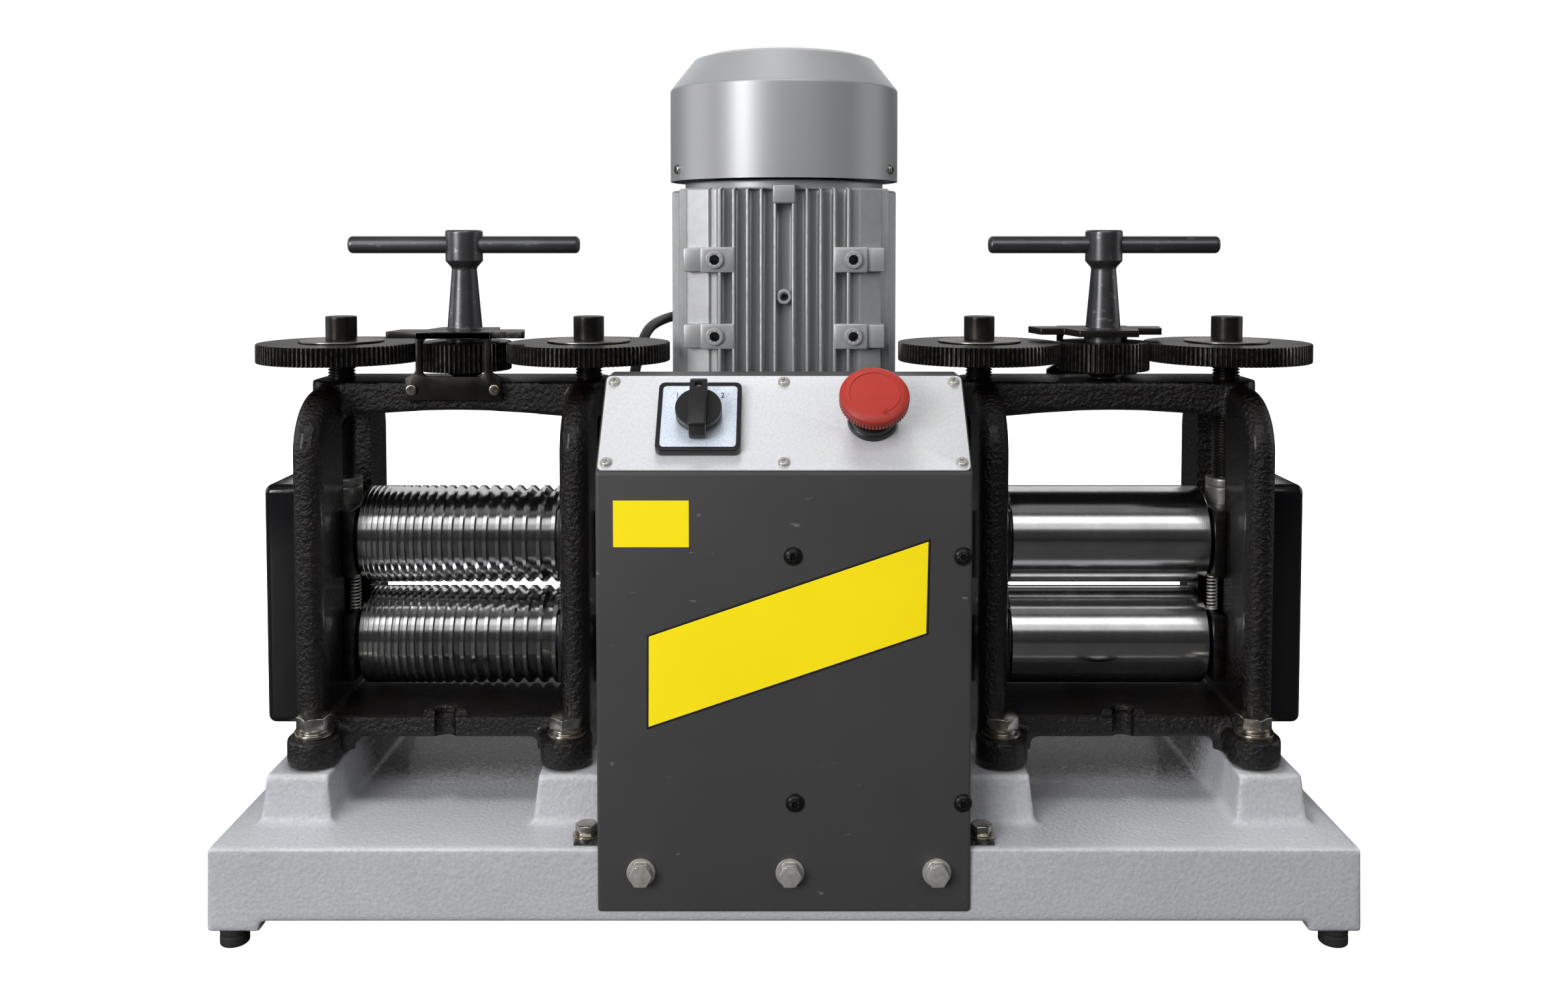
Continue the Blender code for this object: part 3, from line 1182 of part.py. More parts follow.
def smooth_route(points, step):
    """Points every step along a Catmull-Rom curve through the route."""
    ends = [points[0]] + list(points) + [points[-1]]
    route = []
    for a, b, c, d in zip(ends, ends[1:], ends[2:], ends[3:]):
        count = max(1, round((c - b).length / step))
        for i in range(count):
            t = i / count
            route.append(0.5 * (2 * b + (c - a) * t + (2 * a - 5 * b + 4 * c - d) * t ** 2
                                + (3 * b - a - 3 * c + d) * t ** 3))
    route.append(points[-1])
    return route


# Front cover and controls

def front_cover(root):
    """Folded sheet: front, sloping top for the panel, sides and two bolting tabs."""
    front = SHEET_FRONT_Y
    inner = front + SHEET_T
    back = -COVER_SIDE_BACK
    low = BASE_TOP + FIT_GAP
    crest_y, crest_z = front + PANEL_SLANT_Y, SHEET_BEND_Z + PANEL_SLANT_Z
    side = [(front, SHEET_BOTTOM), (inner, SHEET_BOTTOM), (inner, low), (back, low),
            (back, crest_z), (crest_y, crest_z), (front, SHEET_BEND_Z)]
    shell = stand_up(plate(side, 2 * COVER_HALF_X), -COVER_HALF_X)
    bend = SHEET_T * math.tan(PANEL_TILT / 2)
    hollow = [(inner, 0), (back + OVERRUN, 0), (back + OVERRUN, crest_z - SHEET_T),
              (crest_y + bend, crest_z - SHEET_T),
              (inner, SHEET_BEND_Z - bend)]
    shell = cut(shell, stand_up(plate(hollow, 2 * (COVER_HALF_X - SHEET_T)),
                                SHEET_T - COVER_HALF_X))
    for sign in (-1, 1):
        edges = sorted((sign * (COVER_HALF_X - SHEET_T / 2), sign * (COVER_HALF_X + TAB_REACH)))
        tab = span((edges[0], front + TAB_IN - TAB_WIDTH / 2, low),
                   (edges[1], front + TAB_IN + TAB_WIDTH / 2, low + SHEET_T))
        shell = join(shell, tab)
    switch_half = SWITCH_BODY_SIDE / 2 + FIT_GAP
    switch_hole = span((-switch_half, -switch_half, -OVERRUN), (switch_half, switch_half, OVERRUN))
    switch_hole.data.transform(panel_matrix(SWITCH_X))
    estop_hole = rod(clear_radius(ESTOP_BARREL_D / 2, COARSE), (0, 0, -OVERRUN), (0, 0, OVERRUN),
                     COARSE)
    estop_hole.data.transform(panel_matrix(ESTOP_X))
    shell = cut(shell, switch_hole, estop_hole)
    publish(shell, "front_cover", material("dark_grey_paint", (0.055, 0.055, 0.060), 0.4, 0.2),
            root)


def panel_matrix(x=0, rise=0):
    """Frame on the sloping face: X across, Y up the slope and Z out of the panel."""
    middle = Vector((x, SHEET_FRONT_Y + PANEL_SLANT_Y / 2, SHEET_BEND_Z + PANEL_SLANT_Z / 2))
    turn = Matrix.Rotation(PANEL_TILT, 4, "X")
    return Matrix.Translation(middle) @ turn @ Matrix.Translation((0, 0, rise))


def control_panel(frame):
    half_x, half_y = PANEL_WIDTH / 2, PANEL_SLANT / 2 - PANEL_MARGIN
    hole = SWITCH_BODY_SIDE / 2 + FIT_GAP
    square = [(SWITCH_X - hole, -hole), (SWITCH_X + hole, -hole), (SWITCH_X + hole, hole),
              (SWITCH_X - hole, hole)]
    shape = plate(rounded_rectangle(-half_x, half_x, -half_y, half_y, PANEL_CORNER, 2), PANEL_T,
                  [square, circle(clear_radius(ESTOP_BARREL_D / 2, COARSE), COARSE, ESTOP_X)])
    publish(shape, "control_panel", material("brushed_aluminium", (0.62, 0.63, 0.65), 0.4, 0.8),
            frame, (0, 0, FIT_GAP))


def rotary_switch(frame):
    """Cam switch: square face plate with its body behind the panel, and a bar knob."""
    black = material("black_plastic", (0.015, 0.015, 0.016), 0.35, 0.0)
    seat = PANEL_T + 2 * FIT_GAP
    half, body_half = SWITCH_SIDE / 2, SWITCH_BODY_SIDE / 2
    face = plate(rounded_rectangle(-half, half, -half, half, SWITCH_CORNER, 2), SWITCH_H)
    body = span((-body_half, -body_half, -seat - SWITCH_BODY_DEPTH), (body_half, body_half, EDGE))
    neck_hole = rod(clear_radius(KNOB_NECK_D / 2, COARSE), (0, 0, SWITCH_H / 2),
                    (0, 0, SWITCH_H + OVERRUN), COARSE)
    publish(cut(join(face, body), neck_hole), "switch_plate", black, frame, (SWITCH_X, 0, seat))
    knob_low = KNOB_NECK_H
    profile = [(0, knob_low + KNOB_H), (KNOB_D / 2 - EDGE, knob_low + KNOB_H),
               (KNOB_D / 2, knob_low + KNOB_H - EDGE), (KNOB_D / 2, knob_low),
               (KNOB_NECK_D / 2, knob_low), (KNOB_NECK_D / 2, FIT_GAP - SWITCH_H / 2),
               (0, FIT_GAP - SWITCH_H / 2)]
    knob = turned(profile, FINE)
    grip = span((-GRIP_WIDTH / 2, -GRIP_LENGTH / 2 - EDGE, knob_low),
                (GRIP_WIDTH / 2, GRIP_LENGTH / 2 - EDGE, knob_low + GRIP_H))
    publish(join(knob, soften(grip, EDGE)), "switch_knob", black, frame,
            (SWITCH_X, 0, seat + SWITCH_H))


def emergency_stop(frame):
    """Mushroom button: collar with its barrel, sliding stem and turning head."""
    seat = PANEL_T + 2 * FIT_GAP
    bore = ESTOP_BORE_D / 2
    collar = [(bore, ESTOP_COLLAR_H), (ESTOP_SKIRT_D / 2 - EDGE, ESTOP_COLLAR_H),
              (ESTOP_COLLAR_D / 2, ESTOP_COLLAR_H - 2 * EDGE), (ESTOP_COLLAR_D / 2, 0),
              (ESTOP_BARREL_D / 2, 0), (ESTOP_BARREL_D / 2, -ESTOP_BARREL_DEPTH),
              (bore, -ESTOP_BARREL_DEPTH)]
    black = material("black_plastic", (0.015, 0.015, 0.016), 0.35, 0.0)
    publish(turned(collar, FINE, closed=True), "estop_collar", black, frame, (ESTOP_X, 0, seat))
    under = ESTOP_COLLAR_H + ESTOP_TRAVEL + FIT_GAP
    top = ESTOP_RIM_BOTTOM
    stem = turned([(0, top), (ESTOP_STEM_D / 2, top), (ESTOP_STEM_D / 2, -ESTOP_STEM_BACK),
                   (0, -ESTOP_STEM_BACK)], COARSE)
    publish(stem, "estop_stem", black, frame, (ESTOP_X, 0, seat))
    socket = ESTOP_STEM_D / 2 + FIT_GAP
    head = [(0, ESTOP_HEAD_TOP), (ESTOP_CROWN_D / 2, ESTOP_HEAD_TOP - EDGE / 2),
            (ESTOP_HEAD_D / 2 - 2 * EDGE, ESTOP_RIM_TOP + EDGE), (ESTOP_HEAD_D / 2, ESTOP_RIM_TOP),
            (ESTOP_HEAD_D / 2, ESTOP_RIM_BOTTOM), (ESTOP_SKIRT_TOP_D / 2, ESTOP_RIM_BOTTOM - EDGE),
            (ESTOP_SKIRT_D / 2, under), (socket, under), (socket, top + FIT_GAP),
            (0, top + FIT_GAP)]
    red = material("red_plastic", (0.62, 0.030, 0.025), 0.4, 0.0)
    publish(turned(head, FINE), "estop_head", red, frame, (ESTOP_X, 0, seat))


def motor_cable(root):
    """Lead from the terminal box, round the motor's left side and down behind the panel."""
    start_x = -TERMINAL_WIDTH / 2 - GLAND_LENGTH - FIT_GAP
    switch_end = panel_matrix(SWITCH_X, -SWITCH_BODY_DEPTH - FIT_GAP)
    end = switch_end.translation
    inward = (switch_end.to_3x3() @ Vector((0, 0, -1))) * CABLE_STEP
    round_motor = [Vector((-MOTOR_HALF_X * x, WORM_Y * y, GLAND_Z * z))
                   for x, y, z in CABLE_ROUTE_SHARES]
    route = [Vector((start_x, GLAND_Y, GLAND_Z)), Vector((start_x - CABLE_D, GLAND_Y, GLAND_Z)),
             *round_motor, end + inward, end]
    points = smooth_route(route, CABLE_STEP)
    print("cable length, mm:", round(sum(math.dist(a, b) for a, b in zip(points, points[1:])) * 1000))
    publish(tube(points, CABLE_D, 2), "motor_cable",
            material("black_cable", (0.015, 0.015, 0.015), 0.5, 0.0), root)


def build():
    clear_scene()
    root = empty("roll_plane", None, (0, ROLL_PLANE_Y, 0))
    base_casting(root)
    levelling_feet(root)
    build_heads(root)
    gearbox_housing(root)
    drive_line(root)
    motor_housing(root)
    motor_cowl(root)
    motor_rotor(root)
    terminal_box(root)
    motor_cable(root)
    front_cover(root)
    panel = empty("panel_frame", root)
    panel.matrix_basis = panel_matrix()
    control_panel(panel)
    rotary_switch(panel)
    emergency_stop(panel)


build()
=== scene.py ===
# Motor-driven double rolling mill for jewellers, dressed for its picture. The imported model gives
# the places; the pieces below stand round it in the order in which the machine is put together.

import math

import bmesh
import bpy
from mathutils import Matrix, Vector


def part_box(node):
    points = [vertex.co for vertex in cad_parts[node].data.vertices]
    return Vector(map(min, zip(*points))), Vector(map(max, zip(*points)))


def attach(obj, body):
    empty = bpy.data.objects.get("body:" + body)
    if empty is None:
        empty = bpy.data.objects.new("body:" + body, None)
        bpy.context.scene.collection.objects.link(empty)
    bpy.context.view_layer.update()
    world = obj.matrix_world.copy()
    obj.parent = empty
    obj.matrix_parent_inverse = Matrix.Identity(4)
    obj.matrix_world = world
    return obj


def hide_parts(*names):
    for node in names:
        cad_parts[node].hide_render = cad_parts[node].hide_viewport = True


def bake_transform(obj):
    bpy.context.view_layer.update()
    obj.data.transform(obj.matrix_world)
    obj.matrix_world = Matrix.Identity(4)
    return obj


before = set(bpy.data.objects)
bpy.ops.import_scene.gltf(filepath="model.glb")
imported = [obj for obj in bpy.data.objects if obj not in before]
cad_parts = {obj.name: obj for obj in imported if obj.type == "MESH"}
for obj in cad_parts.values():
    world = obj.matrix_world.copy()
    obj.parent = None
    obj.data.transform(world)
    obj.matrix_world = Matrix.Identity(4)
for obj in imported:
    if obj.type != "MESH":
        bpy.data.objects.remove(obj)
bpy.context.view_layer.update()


# Studio
# A white table under a wide soft window in front, with softer boxes at both sides, above and
# behind. The camera stands close in front at the height of the spindle gears, tilted down a
# little, as the perspective of the photograph has it.

PHOTO_WIDTH, PHOTO_HEIGHT = 2408, 1526
FOCAL_PIXELS = 2050
AXIS_PIXEL_V = 463.1

camera_data = bpy.data.cameras.new("camera")
camera_data.sensor_width = 36.0
camera_data.lens = camera_data.sensor_width * FOCAL_PIXELS / PHOTO_WIDTH
camera_data.shift_y = (AXIS_PIXEL_V - PHOTO_HEIGHT / 2) / PHOTO_WIDTH
camera_data.clip_start = 0.02
camera = bpy.data.objects.new("camera", camera_data)
camera.location = (0, -0.9259, 0.420)
camera.rotation_euler = (math.radians(90 - 2.6), 0, 0)
bpy.context.scene.collection.objects.link(camera)
bpy.context.scene.camera = camera
bpy.context.scene.view_settings.view_transform = "Standard"


def soft_light(name, place, target, width, height, power, mirrored=True):
    """A soft box aimed at a point. Unless mirrored, polished steel doesn't show it."""
    lamp = bpy.data.lights.new(name, "AREA")
    lamp.shape = "RECTANGLE"
    lamp.size, lamp.size_y = width, height
    lamp.energy = power
    item = bpy.data.objects.new(name, lamp)
    item.location = place
    item.rotation_euler = (Vector(target) - Vector(place)).to_track_quat("-Z", "Y").to_euler()
    item.visible_glossy = mirrored
    bpy.context.scene.collection.objects.link(item)


soft_light("front_window", (0, -1.95, 2.05), (0, -0.1, 0.2), 3.0, 0.75, 13)
soft_light("front_slope", (0, -2.3, 1.45), (0, -0.1, 0.2), 3.0, 0.62, 5)
soft_light("ceiling_glow", (0, -0.75, 2.45), (0, -0.1, 0.2), 3.0, 0.9, 1.5)
soft_light("left_key", (-1.7, -1.9, 0.95), (0, 0, 0.25), 0.6, 1.0, 22)
soft_light("left_fill", (-1.0, -2.0, 0.8), (0, 0, 0.2), 0.9, 0.8, 26, False)
soft_light("right_fill", (1.8, -1.7, 0.9), (0, 0, 0.25), 0.7, 0.9, 5, False)
soft_light("left_side", (-1.9, 0.2, 0.7), (0, 0, 0.3), 1.2, 1.2, 5)
soft_light("right_side", (1.9, 0.2, 0.7), (0, 0, 0.3), 1.2, 1.2, 3.5)
soft_light("overhead_fill", (-0.1, 0.05, 1.7), (0, 0, 0.2), 0.8, 0.5, 23, False)
soft_light("back_light", (0, 1.8, 1.35), (0, 0, 0.3), 2.4, 1.4, 8)
soft_light("left_rear", (-1.5, 1.9, 0.6), (0, 0, 0.25), 1.0, 1.0, 14, False)
soft_light("right_rear", (1.8, 1.5, 0.5), (0, 0, 0.25), 1.0, 1.0, 16, False)


def shader_node(tree, kind, inputs=None, **settings):
    """One shader node; an input is a plain value or another node's output."""
    made = tree.nodes.new("ShaderNode" + kind)
    for name, value in settings.items():
        setattr(made, name, value)
    for name, value in (inputs or {}).items():
        if isinstance(value, bpy.types.NodeSocket):
            tree.links.new(value, made.inputs[name])
        else:
            made.inputs[name].default_value = value
    return made


def studio_air(behind, around):
    """White behind the machine, and a dimmer white for what it mirrors."""
    world = bpy.data.worlds.new("studio")
    world.use_nodes = True
    tree = world.node_tree
    tree.nodes.clear()
    path = shader_node(tree, "LightPath")
    shown = shader_node(tree, "Background", {"Color": (1, 1, 1, 1), "Strength": behind})
    mirrored = shader_node(tree, "Background", {"Color": (0.97, 0.98, 1, 1), "Strength": around})
    both = shader_node(tree, "MixShader", {0: path.outputs["Is Camera Ray"],
                                           1: mirrored.outputs[0], 2: shown.outputs[0]})
    shader_node(tree, "OutputWorld", {"Surface": both.outputs[0]})
    bpy.context.scene.world = world


studio_air(1.0, 0.04)


def finish(name, colour, roughness, metallic=0.0, coat=0.0):
    """A material with its tree and shader, for the section that needs it to work on."""
    made = bpy.data.materials.new(name)
    made.use_nodes = True
    shader = made.node_tree.nodes["Principled BSDF"]
    shader.inputs["Base Color"].default_value = (*colour, 1)
    shader.inputs["Roughness"].default_value = roughness
    shader.inputs["Metallic"].default_value = metallic
    shader.inputs["Coat Weight"].default_value = coat
    return made, made.node_tree, shader


FLOOR_RADIUS = 9.0
floor_work = bmesh.new()
bmesh.ops.create_circle(floor_work, cap_ends=True, segments=64, radius=FLOOR_RADIUS)
floor_mesh = bpy.data.meshes.new("floor")
floor_work.to_mesh(floor_mesh)
floor_work.free()
floor_white, floor_tree, floor_shader = finish("white_table", (0.93, 0.93, 0.93), 0.55)
floor_shader.inputs["Emission Color"].default_value = (1, 1, 1, 1)
seen = shader_node(floor_tree, "LightPath").outputs["Is Camera Ray"]
pale = shader_node(floor_tree, "Mix", {"Factor": seen, "A": (0.03, 0.03, 0.03, 1),
                                       "B": (0.93, 0.93, 0.93, 1)}, data_type="RGBA")
floor_tree.links.new(pale.outputs["Result"], floor_shader.inputs["Base Color"])
floor_tree.links.new(seen, floor_shader.inputs["Emission Strength"])
floor_mesh.materials.append(floor_white)
floor = bpy.data.objects.new("floor", floor_mesh)
bpy.context.scene.collection.objects.link(floor)


# Base
# One grey iron casting, open below, with four cross ribs planed on top to carry the heads.
# It is sprayed in light blue-grey hammer paint, which is worn pale along the edges. Towards the
# back of its top, under the rolls, dark brown specks stand for both grime and painted shade.

def mesh_of(work):
    bmesh.ops.recalc_face_normals(work, faces=work.faces)
    mesh = bpy.data.meshes.new("shape")
    work.to_mesh(mesh)
    work.free()
    return mesh


def with_modifier(data, kind, **settings):
    """The mesh that a modifier, or a curve's bevel where kind is None, makes of data."""
    item = bpy.data.objects.new("work", data)
    bpy.context.scene.collection.objects.link(item)
    if kind:
        step = item.modifiers.new("step", kind)
        for name, value in settings.items():
            setattr(step, name, value)
    graph = bpy.context.evaluated_depsgraph_get()
    graph.update()
    made = bpy.data.meshes.new_from_object(item.evaluated_get(graph))
    bpy.data.objects.remove(item)
    return made


def combined(mesh, other, operation, solver="EXACT"):
    tool = bpy.data.objects.new("tool", other)
    bpy.context.scene.collection.objects.link(tool)
    made = with_modifier(mesh, "BOOLEAN", operation=operation, solver=solver, object=tool)
    bpy.data.objects.remove(tool)
    return made


def cut(mesh, *tools, solver="EXACT"):
    for tool in tools:
        mesh = combined(mesh, tool, "DIFFERENCE", solver)
    return mesh


def welded(mesh, *others):
    for other in others:
        mesh = combined(mesh, other, "UNION")
    return mesh


def cast(mesh, grain, passes):
    """A casting's skin: every edge and inner corner rounded as a sand mould leaves them."""
    skin = with_modifier(mesh, "REMESH", mode="VOXEL", voxel_size=grain)
    return with_modifier(skin, "SMOOTH", factor=0.5, iterations=passes)


def moved(mesh, *steps):
    """A copy of the mesh, placed by matrices or by a plain shift."""
    made = mesh.copy()
    for step in steps:
        made.transform(step if isinstance(step, Matrix) else Matrix.Translation(step))
    return made


def loft(rings):
    """A closed skin over rings of points, flat at both ends."""
    work = bmesh.new()
    rows = [[work.verts.new(point) for point in ring] for ring in rings]
    for low, high in zip(rows, rows[1:]):
        for i in range(len(low)):
            work.faces.new((low[i - 1], low[i], high[i], high[i - 1]))
    work.faces.new(rows[0])
    work.faces.new(rows[-1])
    return mesh_of(work)


def block(low, high, spread=0.0):
    """A box between two corners, its foot wider by spread on each side."""
    rings = []
    for z, grow in ((low[2], spread), (high[2], 0.0)):
        rings.append([(low[0] - grow, low[1] - grow, z), (high[0] + grow, low[1] - grow, z),
                      (high[0] + grow, high[1] + grow, z), (low[0] - grow, high[1] + grow, z)])
    return loft(rings)


def piece_of(name, shape, finish, angle=None):
    """A mesh or a curve in its finish, linked to the scene as one named piece."""
    if angle is not None:
        shape.shade_smooth()
        shape.set_sharp_from_angle(angle=math.radians(angle))
    shape.materials.clear()
    shape.materials.append(finish)
    piece = bpy.data.objects.new(name, shape)
    bpy.context.scene.collection.objects.link(piece)
    return piece


def fit(name, mesh, finish, body, slot, *nodes, place=None, angle=35):
    """Put a piece on the machine: its finish, the body it moves with and the nodes it replaces."""
    piece = piece_of(name, mesh if place is None else moved(mesh, place), finish, angle)
    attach(piece, body)
    if nodes:
        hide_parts(*nodes)
    return piece


def effect(name, inputs, outputs):
    """An empty shader group with named sockets: its tree, input sockets and output sockets."""
    tree = bpy.data.node_groups.new(name, "ShaderNodeTree")
    for label, kind, value in inputs:
        socket = tree.interface.new_socket(label, in_out="INPUT", socket_type="NodeSocket" + kind)
        socket.default_value = value
    for label, kind in outputs:
        tree.interface.new_socket(label, in_out="OUTPUT", socket_type="NodeSocket" + kind)
    return tree, tree.nodes.new("NodeGroupInput").outputs, tree.nodes.new("NodeGroupOutput").inputs


def use(tree, group, **inputs):
    """A group placed in a material; underscores in the names stand for spaces."""
    made = tree.nodes.new("ShaderNodeGroup")
    made.node_tree = group
    for name, value in inputs.items():
        socket = made.inputs[name.replace("_", " ")]
        if isinstance(value, bpy.types.NodeSocket):
            tree.links.new(value, socket)
        else:
            socket.default_value = value
    return made.outputs


def tone_drift():
    """Two tones that drift into each other in soft clouds."""
    tree, given, out = effect("tone_drift", [("Dark", "Color", (0, 0, 0, 1)),
                                             ("Light", "Color", (1, 1, 1, 1)),
                                             ("Scale", "Float", 20.0),
                                             ("Sharpness", "Float", 0.25)],
                              [("Color", "Color"), ("Mask", "Float")])
    place = shader_node(tree, "TexCoord").outputs["Object"]
    cloud = shader_node(tree, "TexNoise", {"Vector": place, "Scale": given["Scale"],
                                           "Detail": 5.0, "Roughness": 0.6})
    low = shader_node(tree, "Math", {0: 0.5, 1: given["Sharpness"]}, operation="SUBTRACT")
    high = shader_node(tree, "Math", {0: 0.5, 1: given["Sharpness"]}, operation="ADD")
    mask = shader_node(tree, "MapRange", {"Value": cloud.outputs["Fac"], "From Min": low.outputs[0],
                                          "From Max": high.outputs[0]})
    mix = shader_node(tree, "Mix", {"Factor": mask.outputs[0], "A": given["Dark"],
                                    "B": given["Light"]}, data_type="RGBA")
    tree.links.new(mix.outputs["Result"], out["Color"])
    tree.links.new(mask.outputs[0], out["Mask"])
    return tree


def rough_skin():
    """Height of a sprayed or sand-cast surface: swells with a finer grain on them."""
    tree, given, out = effect("rough_skin", [("Scale", "Float", 300.0), ("Grain", "Float", 0.4)],
                              [("Height", "Float")])
    place = shader_node(tree, "TexCoord").outputs["Object"]
    swell = shader_node(tree, "TexNoise", {"Vector": place, "Scale": given["Scale"], "Detail": 2.0,
                                           "Roughness": 0.45})
    finer = shader_node(tree, "Math", {0: given["Scale"], 1: 3.7}, operation="MULTIPLY")
    grain = shader_node(tree, "TexNoise", {"Vector": place, "Scale": finer.outputs[0],
                                           "Detail": 3.0, "Roughness": 0.6})
    part = shader_node(tree, "Math", {0: grain.outputs["Fac"], 1: given["Grain"]},
                       operation="MULTIPLY")
    total = shader_node(tree, "Math", {0: swell.outputs["Fac"], 1: part.outputs[0]},
                        operation="ADD")
    tree.links.new(total.outputs[0], out["Height"])
    return tree


def worn_edges():
    """Mask of outer edges that handling has rubbed, broken up by a noise."""
    tree, given, out = effect("worn_edges", [("Start", "Float", 0.52), ("End", "Float", 0.58),
                                             ("Scale", "Float", 120.0)], [("Mask", "Float")])
    place = shader_node(tree, "TexCoord").outputs["Object"]
    edge = shader_node(tree, "NewGeometry").outputs["Pointiness"]
    rubbed = shader_node(tree, "MapRange", {"Value": edge, "From Min": given["Start"],
                                            "From Max": given["End"]})
    noise = shader_node(tree, "TexNoise", {"Vector": place, "Scale": given["Scale"], "Detail": 4.0})
    patch = shader_node(tree, "MapRange", {"Value": noise.outputs["Fac"], "From Min": 0.38,
                                           "From Max": 0.6})
    mask = shader_node(tree, "Math", {0: rubbed.outputs[0], 1: patch.outputs[0]},
                       operation="MULTIPLY")
    tree.links.new(mask.outputs[0], out["Mask"])
    return tree


TONE, SKIN, WEAR = tone_drift(), rough_skin(), worn_edges()


def mixed(tree, mask, under, over):
    """One colour laid over another through a mask."""
    inputs = {"Factor": mask, "A": under, "B": over}
    return shader_node(tree, "Mix", inputs, data_type="RGBA").outputs["Result"]


def between(tree, value, low, high):
    """A value from 0 to 1 spread over the span from low to high."""
    made = shader_node(tree, "MapRange", {"Value": value, "To Min": low, "To Max": high})
    return made.outputs[0]


def drifting(tree, dark, light, scale, sharpness):
    return use(tree, TONE, Dark=(*dark, 1), Light=(*light, 1), Scale=scale, Sharpness=sharpness)


def feed(value, shader, name):
    """Feeds a value or colour that changes over the surface to one of the shader's sockets."""
    shader.id_data.links.new(value, shader.inputs[name])


def polished(shader, mask, low, high):
    feed(between(shader.id_data, mask, low, high), shader, "Roughness")


def bump(shader, height, depth, strength):
    """Relief of the given depth in metres on the shader's normal."""
    made = shader_node(shader.id_data, "Bump", {"Height": height, "Distance": depth,
                                                "Strength": strength})
    feed(made.outputs[0], shader, "Normal")


def grained(shader, scale, grain, depth, strength):
    bump(shader, use(shader.id_data, SKIN, Scale=scale, Grain=grain)["Height"], depth, strength)


def corners(node):
    return [Vector(corner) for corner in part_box(node)]


def middle(node, axis):
    low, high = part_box(node)
    return (low[axis] + high[axis]) / 2


base_low, base_high = corners("base_casting")
BASE_DRAFT = 0.0015
BASE_WALL, BASE_ROOF = 0.011, 0.012
RIB_HEIGHT = 0.029
RIB_WIDTH, RIB_HALF_Y, RIB_DRAFT = 0.038, 0.0956, 0.004
GRIME_AND_SHADE_FRONT_Y, GRIME_AND_SHADE_FULL_Y, GRIME_AND_SHADE_LOW_Z, GRIME_AND_SHADE_FULL_Z = -0.10, -0.02, 0.058, 0.062
CORNER_PAD, UNDER_ARCH = 0.030, 0.006
BASE_SKIN = 0.0021
OVER = 0.010

base_top = base_high.z - RIB_HEIGHT
head_y = middle("left_lower_roll", 1)
frame_low, frame_high = corners("left_frame")
head_x = -(frame_low.x + frame_high.x) / 2
screw_x = abs(middle("left_outer_screw", 0) + head_x)


def base_casting():
    low = base_low + Vector((BASE_DRAFT, BASE_DRAFT, 0))
    high = base_high - Vector((BASE_DRAFT, BASE_DRAFT, RIB_HEIGHT))
    shell = block(low, high, BASE_DRAFT)
    hollow = block(low + Vector((BASE_WALL, BASE_WALL, -OVER)),
                   high - Vector((BASE_WALL, BASE_WALL, BASE_ROOF)))
    arch = block((low.x + CORNER_PAD, low.y - OVER, low.z - OVER),
                 (high.x - CORNER_PAD, high.y + OVER, low.z + UNDER_ARCH))
    ribs = [block((x - RIB_WIDTH / 2, head_y - RIB_HALF_Y, base_top - BASE_ROOF / 2),
                  (x + RIB_WIDTH / 2, head_y + RIB_HALF_Y, base_high.z), RIB_DRAFT)
            for x in (side * (head_x + inner * screw_x) for side in (-1, 1) for inner in (-1, 1))]
    return cast(welded(cut(shell, hollow, arch), *ribs), BASE_SKIN, 2)


hammer_paint, tree, shader = finish("blue_grey_hammer_paint", (0.44, 0.44, 0.465), 0.4, 0.0, 0.15)
clouds = drifting(tree, (0.41, 0.415, 0.44), (0.49, 0.495, 0.52), 9.0, 0.3)
specks = drifting(tree, (0, 0, 0), (1, 1, 1), 420.0, 0.09)
speckled = mixed(tree, between(tree, specks["Mask"], 0.0, 0.25), clouds["Color"],
                 (0.27, 0.275, 0.30, 1))
rubbed = use(tree, WEAR, Start=0.53, End=0.60, Scale=60.0)
painted = mixed(tree, rubbed["Mask"], speckled, (0.72, 0.73, 0.75, 1))


def ramp(tree, value, low, high):
    """How far a value has come from low to high, as 0 to 1."""
    inputs = {"Value": value, "From Min": low, "From Max": high}
    return shader_node(tree, "MapRange", inputs).outputs[0]


# Grime and painted shade: the top and the ribs get dark brown specks that thicken towards the back,
# under the rolls, where grime lies and where shade falls.
own_place = shader_node(tree, "TexCoord").outputs["Object"]
axes = shader_node(tree, "SeparateXYZ", {0: own_place}).outputs
grime_and_shade_zone = shader_node(tree, "Math", {
    0: ramp(tree, axes["Y"], GRIME_AND_SHADE_FRONT_Y, GRIME_AND_SHADE_FULL_Y),
    1: ramp(tree, axes["Z"], GRIME_AND_SHADE_LOW_Z, GRIME_AND_SHADE_FULL_Z)}, operation="MULTIPLY").outputs[0]
swarf = shader_node(tree, "TexNoise", {"Vector": own_place, "Scale": 380.0, "Detail": 6.0,
                                       "Roughness": 0.85})
swarf_and_shade = shader_node(tree, "Math", {0: swarf.outputs["Fac"], 1: grime_and_shade_zone}, operation="MULTIPLY")
grime_and_shade = between(tree, ramp(tree, swarf_and_shade.outputs[0], 0.24, 0.47), 0.0, 0.92)
painted = mixed(tree, grime_and_shade, painted, (0.035, 0.028, 0.022, 1))
feed(painted, shader, "Base Color")
polished(shader, specks["Mask"], 0.30, 0.46)
grained(shader, 400.0, 0.3, 0.0007, 0.7)
fit("base", base_casting(), hammer_paint, "base", "base_paint", "base_casting", angle=180)


# Feet
# Four short rubber studs pushed into the corners of the base. They lift it just clear of the
# bench, and are the only parts that touch it.

